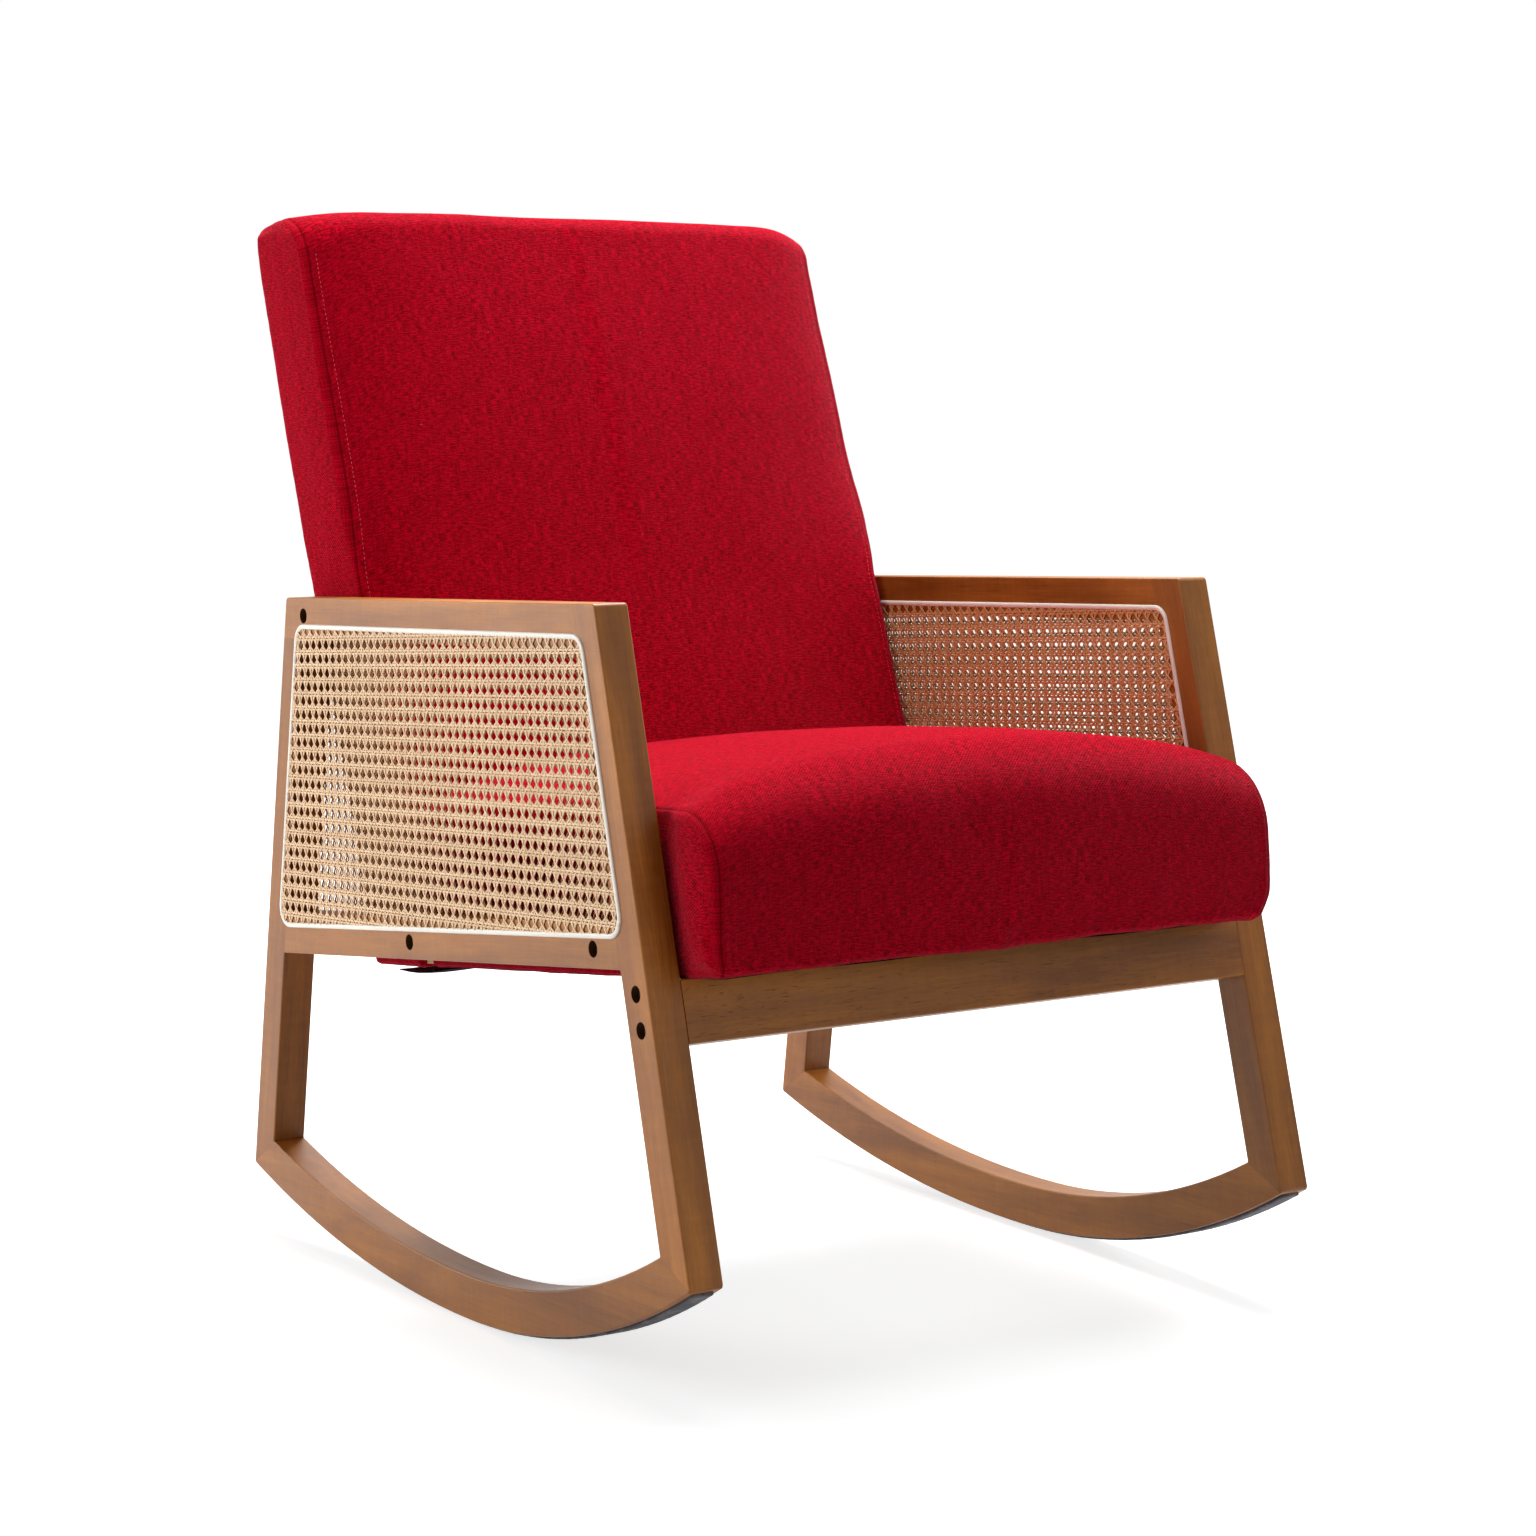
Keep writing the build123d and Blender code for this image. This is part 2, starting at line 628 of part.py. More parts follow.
def back_cushion():
    low_t = 200.0
    height = BACK_TOP_T - low_t
    base = Plane(origin=(0, *back_yz(BACK_REAR_N, low_t)), x_dir=(1, 0, 0), z_dir=(0, *BACK_FWD_DIR))
    deep = BACK_CROWN - BACK_REAR_N
    block = base * Box(2 * UNIT_HALF, height, deep, align=(Align.CENTER, Align.MIN, Align.MIN))
    crown_r = (UNIT_HALF ** 2 + BACK_CROWN ** 2) / (2 * BACK_CROWN)
    bow = Plane(
        origin=(0, *back_yz(BACK_CROWN - crown_r, low_t - 50)), x_dir=(1, 0, 0), z_dir=(0, *BACK_UP_DIR)
    )
    block &= bow * Cylinder(crown_r, height + 200, align=(Align.CENTER, Align.CENTER, Align.MIN))
    thick = [e for e in block.edges() if is_thickness_edge(e)]
    block = fillet(thick, BACK_CORNER_R)
    front_edges = [e for e in block.edges() if is_front_edge(e, low_t)]
    block = fillet(front_edges, BACK_EDGE_R)
    sole = seat_level(CUSHION_M)
    keep = across(
        [
            go(sole.p, sole.d, -900),
            go(sole.p, sole.d, 900),
            go(go(sole.p, sole.d, 900), SEAT_UP_DIR, 1500),
            go(go(sole.p, sole.d, -900), SEAT_UP_DIR, 1500),
        ],
        -HALF,
        HALF,
    )
    block &= keep
    room = UNIT_FRAME_HALF + FIT
    cavity_front = STILE_FRONT_N + WEB_T + 2 * FIT
    pocket = across(
        [
            back_yz(cavity_front, low_t - 50),
            back_yz(BACK_REAR_N - 5, low_t - 50),
            back_yz(BACK_REAR_N - 5, STILE_TOP_T + FIT),
            back_yz(cavity_front, STILE_TOP_T + FIT),
        ],
        -room,
        room,
    )
    block -= pocket
    return block - rod(BOLT_ARM, SPACER_D + 2 * FIT, -HALF, HALF)


def is_thickness_edge(e):
    """Edges through the back's thickness at its two top corners."""
    c = e.center()
    along = abs(dot((e.tangent_at(0.5).Y, e.tangent_at(0.5).Z), BACK_FWD_DIR)) > 0.9
    high = dot((c.Y, c.Z), BACK_UP_DIR) > BACK_TOP_T - 1
    return along and high


def is_front_edge(e, low_t):
    """The long edges round the front face, apart from its foot."""
    c = e.center()
    forward = dot((c.Y, c.Z), BACK_FWD_DIR) > -2
    return forward and dot((c.Y, c.Z), BACK_UP_DIR) > low_t + 1


def back_panel():
    """Fabric that closes the rear of the back, level with the cover's edge."""
    half = UNIT_FRAME_HALF - FIT
    top = STILE_TOP_T - FIT
    n0 = BACK_REAR_N
    n1 = STILE_REAR_N - 2 * DOWEL_CLEAR
    low = seat_level(CUSHION_M + 0.6)
    points = [
        low.meet(back_level(n1)),
        low.meet(back_level(n0)),
        back_yz(n0, top),
        back_yz(n1, top),
    ]
    return across(points, -half, half)


def dust_cover():
    """Black cloth under the seat."""
    half = UNIT_FRAME_HALF - 6
    low = SEAT_M_BOTTOM + 0.4
    high = SEAT_FRAME_M - 0.2
    rear = back_level(STILE_REAR_N + 6)
    points = [
        seat_yz(front_s + 6, low),
        seat_level(low).meet(rear),
        seat_level(high).meet(rear),
        seat_yz(front_s + 6, high),
    ]
    return across(points, -half, half)


# ---- hardware ----
def bolt(p, length):
    """Socket head cap screw for the right side, head outwards."""
    seat_x = HALF - BORE_DEPTH
    shank = rod(p, BOLT_D, seat_x - length, seat_x + 1)
    head = rod(p, BOLT_HEAD_D, seat_x, seat_x + BOLT_HEAD_H)
    head = chamfer(head.edges().filter_by(GeomType.CIRCLE).sort_by(Axis.X)[-1], 0.8)
    across_corners = BOLT_SOCKET / sqrt(3)
    hexagon = Plane.YZ.offset(seat_x + BOLT_HEAD_H - 4) * RegularPolygon(across_corners, 6)
    socket = Pos(0, p[0], p[1]) * extrude(hexagon, amount=5)
    return shank + head - socket


def insert_nut(p):
    """Threaded sleeve with a flange, set into the wooden unit."""
    outer = UNIT_FRAME_HALF
    body = rod(p, INSERT_D, outer - INSERT_L, outer)
    return body - rod(p, BOLT_D + 2 * DOWEL_CLEAR, outer - INSERT_L - 1, outer + 1)


def spacer(p):
    sleeve = rod(p, SPACER_D, UNIT_FRAME_HALF, INNER)
    return sleeve - rod(p, BOLT_D + HOLE_CLEAR, UNIT_FRAME_HALF - 1, INNER + 1)


def barrel_nut(p, side):
    x = side * (HALF - BORE_DEPTH)
    return barrel(p, side, 0) - rod(p, BOLT_D + 2 * DOWEL_CLEAR, x, x - side * (RAIL_BOLT_L + 5))


def both(shapes):
    return shapes + [mirror(s, Plane.YZ) for s in shapes]


# ---- all nodes ----
parts = {}
for name, shape in side_frame().items():
    parts[name + "_right"] = shape
parts["cane_outer_right"] = cane(True)
parts["cane_inner_right"] = cane(False)
parts["spline_outer_right"] = spline(True)
parts["spline_inner_right"] = spline(False)
parts["rocker_felt_right"] = felt_strip()
parts["seat_side_rail_right"] = seat_side_rail()
parts["back_stile_right"] = back_stile()
for name in list(parts):
    parts[name.replace("_right", "_left")] = mirror(parts[name], Plane.YZ)

dowels = [dowel(place, direction, 0) for place, direction in dowel_places()]
parts["frame_dowels_right"] = Compound(dowels)
parts["frame_dowels_left"] = Compound([mirror(d, Plane.YZ) for d in dowels])
parts["front_rail"] = front_rail()
parts["seat_front_rail"] = seat_front_rail()
parts["back_bottom_rail"] = back_bottom_rail()
parts["back_mid_rail"] = back_mid_rail()
parts["back_top_rail"] = back_top_rail()
parts["seat_corner_blocks"] = Compound(corner_blocks())
parts["seat_webbing"] = Compound(seat_webbing())
parts["back_webbing"] = Compound(back_webbing())
parts["seat_cushion"] = seat_cushion()
parts["back_cushion"] = back_cushion()
parts["back_panel"] = back_panel()
parts["dust_cover"] = dust_cover()

unit_bolts = (*BOLTS_SIDE_RAIL, BOLT_ARM)
parts["unit_bolts"] = Compound(both([bolt(p, SIDE_BOLT_L) for p in unit_bolts]))
parts["rail_bolts"] = Compound(both([bolt(p, RAIL_BOLT_L) for p in BOLTS_FRONT_LEG]))
parts["insert_nuts"] = Compound(both([insert_nut(p) for p in unit_bolts]))
parts["spacers"] = Compound(both([spacer(p) for p in unit_bolts]))
barrels = [barrel_nut(p, side) for p in BOLTS_FRONT_LEG for side in (-1, 1)]
parts["barrel_nuts"] = Compound(barrels)

# the origin: on the floor, in the middle of the whole chair
boxes = [shape.bounding_box() for shape in parts.values()]
front = min(box.min.Y for box in boxes)
back = max(box.max.Y for box in boxes)
shift = Pos(0, -(front + back) / 2, FELT_T)
print("drawing moved by Y %.3f, Z %.3f" % (-(front + back) / 2, FELT_T))
for name, shape in parts.items():
    export_step(shift * shape, "parts/" + name + ".step")
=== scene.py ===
from math import atan2, ceil, cos, exp, floor, hypot, pi, radians, sin, sqrt, tan

import bmesh
import bpy
import numpy as np
from bpy.props import FloatProperty, FloatVectorProperty, PointerProperty
from mathutils import Matrix, Vector
from mathutils.noise import noise


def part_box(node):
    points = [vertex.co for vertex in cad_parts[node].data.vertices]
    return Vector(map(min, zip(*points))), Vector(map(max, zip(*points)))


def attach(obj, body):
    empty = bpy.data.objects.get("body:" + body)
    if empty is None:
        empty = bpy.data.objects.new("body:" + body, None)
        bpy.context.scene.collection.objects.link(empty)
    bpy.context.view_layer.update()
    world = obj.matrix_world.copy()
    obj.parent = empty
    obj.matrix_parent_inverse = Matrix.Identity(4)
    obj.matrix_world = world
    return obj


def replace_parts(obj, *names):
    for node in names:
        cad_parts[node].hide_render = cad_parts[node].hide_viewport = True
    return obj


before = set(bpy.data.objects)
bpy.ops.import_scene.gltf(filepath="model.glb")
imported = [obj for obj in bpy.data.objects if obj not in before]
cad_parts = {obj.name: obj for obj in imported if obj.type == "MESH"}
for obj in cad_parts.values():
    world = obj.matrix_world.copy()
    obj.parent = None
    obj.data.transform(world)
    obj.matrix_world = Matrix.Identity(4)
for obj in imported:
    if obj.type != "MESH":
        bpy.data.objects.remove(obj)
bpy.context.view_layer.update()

bl_info = {
    "name": "Cane-sided rocking chair",
    "version": (1, 0, 0),
    "blender": (4, 5, 0),
    "location": "3D View > Sidebar > Rocker",
    "description": "Builds the finish, cane, upholstery and studio of a rocking chair over its packed frame",
    "category": "Object",
}

BODY = "root"
SIDES = {"left": -1.0, "right": 1.0}

# The side view was drawn with its origin where the rockers touch the floor, in metres.
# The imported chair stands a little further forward, and higher by the felt.
DRAWN_Y = -0.033714
DRAWN_Z = 0.0025

ARM_BACK = (0.3180, 0.6055)
ARM_FRONT = (-0.2455, 0.6320)
FRONT_LEAN = radians(15.17)
BACK_LEAN = radians(8.15)
SIDE_RAIL_BACK = (0.3280, 0.2695)
SIDE_RAIL_RISE = radians(6.68)
MEMBER_DEPTH = 0.038
ROCKER_LOW_Y = 0.004
ROCKER_BACK = 1.365
ROCKER_FRONT = 0.745
ROCKER_BLEND = radians(1.5)
ROCKER_DEPTH = 0.0385
SEAT_TILT = radians(7)
BACK_TILT = radians(20)
BORE_RADIUS = 0.0071

# Where the cushions end: square to the seat, along y, forward of the back and up along it.
UNDERSIDE = 0.2955
SEAT_FRONT = -0.3765
BACK_REAR = -0.1088
BACK_TOP_TURN = 1.008

# How finely the cushions are divided: steps along the two pairs of sides, in a rounded corner and across.
SEAT_GRID = (84, 24)
BACK_GRID = (100, 14)
ARC_STEPS = 8
ACROSS = 0.0078

# How the covers are filled: drawn in at first, then pushed out in this many frames, then kneaded.
COVER_SHRINK = 0.0008
FILLING_FRAMES = 20
UNEVENNESS = 0.0011


# ---- sizes and colours a user would change ----
def length(name, description, default):
    return FloatProperty(name=name, description=description, default=default, min=0.0001, unit="LENGTH")


def tint(name, description, default):
    return FloatVectorProperty(name=name, description=description, default=default, subtype="COLOR")


class RockerSizes(bpy.types.PropertyGroup):
    """Sizes of the cane and the upholstery"""

    cane_pitch: length("Cane pitch", "Distance from hole to hole", 0.0129)
    cane_turn: FloatProperty(
        name="Cane turn", description="How far the rows rise to the front", subtype="ANGLE",
        default=radians(4.07),
    )
    strand_width: length("Strand width", "Width of one cane strand", 0.0021)
    strand_thickness: length("Strand thickness", "Thickness of one cane strand", 0.0005)
    half_width: length("Cushion half width", "Half the width of seat and back", 0.283)
    filling_cap: length("Filling cap", "Most that the filling may push the cover", 0.0026)
    stitch_pitch: length("Stitch pitch", "Distance between topstitches", 0.0046)


class RockerColours(bpy.types.PropertyGroup):
    """Colours of the finishes"""

    wood_light: tint("Wood, light", "Stained wood between its figure", (0.43, 0.152, 0.018))
    wood_dark: tint("Wood, dark", "Stained wood in its figure", (0.185, 0.056, 0.004))
    cane: tint("Cane", "Sound cane strands", (0.82, 0.56, 0.33))
    cane_dark: tint("Cane, dark", "Darker cane strands", (0.60, 0.35, 0.17))
    spline: tint("Spline", "Reed round the cane", (0.86, 0.82, 0.74))
    cloth: tint("Cloth", "Upholstery cloth", (0.72, 0.0010, 0.020))
    cloth_dark: tint("Cloth, dark", "Upholstery cloth between its yarns", (0.21, 0.0004, 0.005))
    felt: tint("Felt", "Strips under the rockers", (0.17, 0.165, 0.20))


# ---- side view geometry, points are (y, z) ----
def unit(a, b):
    size = hypot(b[0] - a[0], b[1] - a[1])
    return ((b[0] - a[0]) / size, (b[1] - a[1]) / size)


def along(p, d, reach):
    return (p[0] + d[0] * reach, p[1] + d[1] * reach)


def meet(p, d, q, e):
    """Where the line through p along d meets the line through q along e."""
    det = d[0] * e[1] - d[1] * e[0]
    return along(p, d, ((q[0] - p[0]) * e[1] - (q[1] - p[1]) * e[0]) / det)


def meet_circle(p, d, centre, radius):
    """The lower crossing of a line with a circle."""
    qx, qy = p[0] - centre[0], p[1] - centre[1]
    b = qx * d[0] + qy * d[1]
    root = sqrt(b * b - qx * qx - qy * qy + radius * radius)
    return min((along(p, d, -b - root), along(p, d, -b + root)), key=lambda h: h[1])


def packed(p):
    """A point of the drawn side view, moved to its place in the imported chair."""
    return (p[0] + DRAWN_Y, p[1] + DRAWN_Z)


def seat_point(s, m):
    """A point s back along the seat and m square to it."""
    return (s * cos(SEAT_TILT) + m * sin(SEAT_TILT), -s * sin(SEAT_TILT) + m * cos(SEAT_TILT))


def back_point(n, t):
    """A point t up along the back and n forward of it."""
    return (t * sin(BACK_TILT) - n * cos(BACK_TILT), t * cos(BACK_TILT) + n * sin(BACK_TILT))


def on_seat(y, z):
    """How far a drawn point lies back along the seat, and square to it."""
    return y * cos(SEAT_TILT) - z * sin(SEAT_TILT), y * sin(SEAT_TILT) + z * cos(SEAT_TILT)


def on_back(y, z):
    """How far a drawn point lies forward of the back, and up along it."""
    return -y * cos(BACK_TILT) + z * sin(BACK_TILT), y * sin(BACK_TILT) + z * cos(BACK_TILT)


SEAT_DIR = seat_point(1, 0)
BACK_DIR = back_point(0, 1)
EDGE_TOP = unit(ARM_BACK, ARM_FRONT)
EDGE_FRONT = (-sin(FRONT_LEAN), -cos(FRONT_LEAN))
EDGE_BACK = (-sin(BACK_LEAN), cos(BACK_LEAN))
EDGE_RAIL = (cos(SIDE_RAIL_RISE), -sin(SIDE_RAIL_RISE))
# Bores whose walls the wood's finish darkens with painted shade.
BORES = {
    "arm_rail": [(0.2815, 0.5905)],
    "back_leg": [(0.2815, 0.5905)],
    "side_rail": [(0.0750, 0.3145), (-0.2430, 0.3525)],
    "front_leg": [(-0.3095, 0.3255), (-0.3173, 0.2975), (-0.2430, 0.3525)],
}
# Each member's brightness: partly its board's own tone, partly painted light and shade for how that member is
# lit.
BOARD_TONES_AND_PAINTED_LIGHT = {
    "arm_rail_left": 1.08, "front_leg_left": 1.14, "side_rail_left": 0.90, "back_leg_left": 0.90,
    "rocker_left": 0.86, "arm_rail_right": 0.95, "front_leg_right": 0.95, "rocker_right": 0.88,
}
ROCKER_CENTRE_BACK = (ROCKER_LOW_Y, ROCKER_BACK)
ROCKER_CENTRE_FRONT = along(
    ROCKER_CENTRE_BACK, (-sin(ROCKER_BLEND), -cos(ROCKER_BLEND)), ROCKER_BACK - ROCKER_FRONT
)


def inner(p, d, inset=MEMBER_DEPTH):
    """The member's inner edge, parallel to its outer edge."""
    return along(p, (-d[1], d[0]), inset)


def joint_planes():
    """The six glued joints of a side frame, each as a point and the line it runs along."""
    top = (inner(ARM_BACK, EDGE_TOP), EDGE_TOP)
    front = inner(ARM_FRONT, EDGE_FRONT)
    back = inner(ARM_BACK, EDGE_BACK)

    def mitre(edge, inside, direction, centre, radius):
        outer_end = meet_circle(edge, direction, centre, radius)
        inner_end = meet_circle(inside, direction, centre, radius - ROCKER_DEPTH)
        return (inner_end, unit(inner_end, outer_end))

    toe = mitre(ARM_FRONT, front, EDGE_FRONT, ROCKER_CENTRE_FRONT, ROCKER_FRONT)
    heel = mitre(ARM_BACK, back, EDGE_BACK, ROCKER_CENTRE_BACK, ROCKER_BACK)
    return {
        "front_leg": [top, toe],
        "back_leg": [top, heel],
        "side_rail": [(front, EDGE_FRONT), (back, EDGE_BACK)],
        "rocker": [toe, heel],
    }


# ---- shared making ----
def settings():
    return bpy.context.scene.rocker_sizes


def colours():
    return bpy.context.scene.rocker_colours


def rgba(colour, lift=1.0):
    return (*(c * lift for c in colour), 1.0)


def clamped(share):
    return min(1.0, max(0.0, share))


def smooth_step(value, low, high):
    share = clamped((value - low) / (high - low))
    return share * share * (3 - 2 * share)


def shade(seed):
    """A repeatable number from 0 to 1 for a whole number."""
    value = sin(seed * 12.9898 + 4.137) * 43758.5453
    return value - floor(value)


def tube_faces(base, rings, around, looped=False):
    """Faces round a tube whose rings of points start at base; its ends are closed, or joined in a loop."""
    faces = []
    total = rings * around
    for i in range(rings if looped else rings - 1):
        for k in range(around):
            a, b = i * around + k, i * around + (k + 1) % around
            faces.append([base + p % total for p in (a, b, b + around, a + around)])
    if not looped:
        faces.append([base + k for k in reversed(range(around))])
        faces.append([base + total - around + k for k in range(around)])
    return faces


def new_object(name, verts, faces, material, uvs):
    """A smooth mesh object; uvs gives the place on the flat cloth for each corner of each face."""
    mesh = bpy.data.meshes.new(name)
    mesh.from_pydata([tuple(v) for v in verts], [], [tuple(f) for f in faces])
    if uvs:
        layer = mesh.uv_layers.new(name="cloth")
        layer.data.foreach_set("uv", np.array([c for face in uvs for c in face]).ravel())
    mesh.update()
    bm = bmesh.new()
    bm.from_mesh(mesh)
    bmesh.ops.recalc_face_normals(bm, faces=bm.faces)
    bm.to_mesh(mesh)
    bm.free()
    mesh.polygons.foreach_set("use_smooth", [True] * len(mesh.polygons))
    mesh.materials.append(material)
    obj = bpy.data.objects.new(name, mesh)
    bpy.context.scene.collection.objects.link(obj)
    return obj


def make_object(name, verts, faces, material, uvs=None):
    obj = new_object(name, verts, faces, material, uvs)
    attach(obj, BODY)
    return obj


def coordinates(mesh):
    co = np.empty(len(mesh.vertices) * 3)
    mesh.vertices.foreach_get("co", co)
    return co.reshape(-1, 3)


def set_coordinates(mesh, co):
    mesh.vertices.foreach_set("co", co.ravel())
    mesh.update()


def normals(mesh):
    no = np.empty(len(mesh.vertices) * 3)
    mesh.vertex_normals.foreach_get("vector", no)
    return no.reshape(-1, 3)


def mark_points(mesh, name, kind, values):
    field = "vector" if kind == "FLOAT_VECTOR" else "value"
    mesh.attributes.new(name, kind, "POINT").data.foreach_set(field, np.array(values).ravel())


def finish_node(name, material):
    """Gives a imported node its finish."""
    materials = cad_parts[name].data.materials
    materials.clear()
    materials.append(material)


# ---- shader building ----
class Wiring:
    """The nodes of one material or group, and short ways to add to them."""

    def __init__(self, tree):
        self.tree = tree

    def feed(self, sockets, values):
        """Sets each named socket to a value, or links it to another node's socket."""
        for key, value in values.items():
            if isinstance(value, bpy.types.NodeSocket):
                self.tree.links.new(value, sockets[key])
            else:
                sockets[key].default_value = value

    def node(self, kind, values, **options):
        made = self.tree.nodes.new("ShaderNode" + kind)
        for key, value in options.items():
            setattr(made, key, value)
        self.feed(made.inputs, values)
        return made.outputs

    def maths(self, operation, a, b=0.5, c=0.5):
        return self.node("Math", {0: a, 1: b, 2: c}, operation=operation)[0]

    def times(self, a, b):
        return self.maths("MULTIPLY", a, b)

    def plus(self, a, b):
        return self.maths("ADD", a, b)

    def times_plus(self, a, b, c):
        return self.maths("MULTIPLY_ADD", a, b, c)

    def weighted(self, *layers):
        """The sum of values, each times its own share."""
        total = self.times(*layers[0])
        for value, share in layers[1:]:
            total = self.times_plus(value, share, total)
        return total

    def vector(self, operation, a, b, output=0):
        return self.node("VectorMath", {0: a, 1: b}, operation=operation)[output]

    def scaled(self, vector, factors):
        return self.vector("MULTIPLY", vector, factors)

    def dotted(self, vector, direction):
        """The distance of a point along a direction."""
        return self.vector("DOT_PRODUCT", vector, direction, "Value")

    def combined(self, x, y, z):
        return self.node("CombineXYZ", {0: x, 1: y, 2: z})[0]

    def mix(self, factor, a, b):
        return self.node("Mix", {0: factor, 6: a, 7: b}, data_type="RGBA", blend_type="MIX")[2]

    def ranged(self, value, low, high, to_low=0.0, to_high=1.0):
        return self.node("MapRange", {0: value, 1: low, 2: high, 3: to_low, 4: to_high})[0]

    def cloud(self, vector, scale, detail=2.0, roughness=0.5, output=0):
        values = {"Vector": vector, "Scale": scale, "Detail": detail, "Roughness": roughness}
        return self.node("TexNoise", values)[output]

    def effect(self, name, **values):
        """One of the shared effects, placed here with values of its own."""
        return self.node("Group", values, node_tree=bpy.data.node_groups[name])

    def patches(self, vector, scale, cover):
        return self.effect("Uneven patches", Vector=vector, Scale=scale, Cover=cover)["Mask"]

    def marked(self, name, output):
        return self.node("Attribute", {}, attribute_name=name)[output]


class Effect(Wiring):
    """A node group with named sockets, each given as a name and a kind."""

    def __init__(self, name, given, results):
        super().__init__(bpy.data.node_groups.new(name, "ShaderNodeTree"))
        for way, sockets in (("INPUT", given), ("OUTPUT", results)):
            for label, kind in sockets.items():
                self.tree.interface.new_socket(label, in_out=way, socket_type="NodeSocket" + kind)
        self.given = self.tree.nodes.new("NodeGroupInput").outputs
        self.results = self.tree.nodes.new("NodeGroupOutput").inputs

    def put(self, **values):
        self.feed(self.results, values)


class Finish(Wiring):
    """A material with a Principled surface, its constants set on the shader's own sockets.

    Its place is the place on the chair, in metres.
    """

    def __init__(self, name, **shader):
        self.material = bpy.data.materials.new(name)
        self.material.use_nodes = True
        super().__init__(self.material.node_tree)
        self.surface = self.tree.nodes["Principled BSDF"]
        named = {key.replace("_", " ").title().replace("Ior", "IOR"): value for key, value in shader.items()}
        self.feed(self.surface.inputs, named)
        self.place = self.node("TexCoord", {})["Object"]

    def lay(self, colour, height, distance, roughness=None):
        """Joins the colour, the relief and, where it varies, the roughness to the surface."""
        bump = self.node("Bump", {"Height": height, "Distance": distance, "Strength": 1.0})[0]
        self.feed(self.surface.inputs, {"Base Color": colour, "Normal": bump})
        if roughness is not None:
            self.feed(self.surface.inputs, {"Roughness": roughness})
        return self.material


# ---- shared effects ----
TWO_TONES = {"Light": "Color", "Dark": "Color"}
LAID = {"Color": "Color", "Roughness": "Float", "Height": "Float"}


def make_wood_grain():
    """Long figure, fine fibre and open pores, along the first coordinate."""
    grain = Effect("Wood grain", {"Vector": "Vector", **TWO_TONES, "Pores": "Float"}, LAID)

    def layer(factors, detail=1.0, roughness=0.5):
        return grain.cloud(grain.scaled(grain.given["Vector"], factors), 1.0, detail, roughness)

    figure = layer((2.2, 34, 34), 3.0, 0.55)
    broad = layer((6, 14, 14), 2.0)
    fibre = layer((26, 520, 520), 3.0, 0.6)
    ripple = layer((160, 30, 30))
    pore = grain.times(grain.ranged(layer((95, 1500, 1500)), 0.66, 0.72), grain.given["Pores"])
    tone = grain.weighted((broad, 0.35), (figure, 0.75), (fibre, 0.30), (ripple, 0.10))
    colour = grain.mix(grain.ranged(tone, 0.57, 0.93), grain.given["Dark"], grain.given["Light"])
    grain.put(
        Color=grain.mix(grain.times(pore, 0.7), colour, (0.05, 0.018, 0.006, 1)),
        Roughness=grain.times_plus(pore, 0.2, grain.ranged(fibre, 0.3, 0.7, 0.34, 0.46)),
        Height=grain.maths("SUBTRACT", grain.times(fibre, 0.35), pore),
    )


def make_wear():
    """Soft uneven patches, such as handling marks, dust or uneven stain."""
    given = {"Vector": "Vector", "Scale": "Float", "Cover": "Float"}
    wear = Effect("Uneven patches", given, {"Mask": "Float"})
    coarse = wear.cloud(wear.given["Vector"], wear.given["Scale"], 4.0, 0.6)
    limit = wear.maths("SUBTRACT", 0.75, wear.times(wear.given["Cover"], 0.5))
    wear.put(Mask=wear.ranged(coarse, limit, wear.plus(limit, 0.18)))


def make_woven_cloth():
    """A heathered twill of uneven yarns; the first two coordinates run along its threads."""
    given = {"Vector": "Vector", "Yarn": "Float", **TWO_TONES}
    weave = Effect("Woven cloth", given, {"Color": "Color", "Height": "Float"})
    given = weave.given
    wander = weave.cloud(given["Vector"], 55.0, 1.0, output="Color")
    vector = weave.vector("ADD", given["Vector"], weave.scaled(wander, (0.0014, 0.0014, 0.0)))
    split = weave.node("SeparateXYZ", {0: vector})
    u, v = [weave.maths("DIVIDE", split[k], given["Yarn"]) for k in (0, 1)]
    step = weave.plus(weave.maths("FLOOR", u), weave.maths("FLOOR", v))
    over = weave.maths("LESS_THAN", weave.maths("FRACT", weave.maths("DIVIDE", step, 4.0)), 0.49)
    warp, weft = [weave.maths("ABSOLUTE", weave.maths("SINE", weave.times(k, pi))) for k in (u, v)]
    lift = weave.node("Mix", {0: over, 2: weft, 3: warp}, data_type="FLOAT")[0]
    dash_u = weave.cloud(weave.combined(weave.times(u, 0.20), v, 0.0), 0.62, 1.0, 0.6)
    dash_v = weave.cloud(weave.combined(u, weave.times(v, 0.12), 7.0), 0.62, 1.0, 0.6)
    dash = weave.weighted((dash_v, 0.26), (dash_u, 0.74))
    blotch = weave.cloud(vector, 260.0)
    fuzz = weave.cloud(vector, 1100.0, 2.0, 0.7)
    tone = weave.ranged(weave.weighted((blotch, 0.08), (dash, 0.62), (fuzz, 0.30)), 0.425, 0.575)
    tone = weave.times(tone, weave.times_plus(lift, 0.5, 0.6))
    weave.put(
        Color=weave.mix(tone, given["Dark"], given["Light"]),
        Height=weave.times_plus(dash, 0.8, weave.times_plus(fuzz, 0.4, lift)),
    )


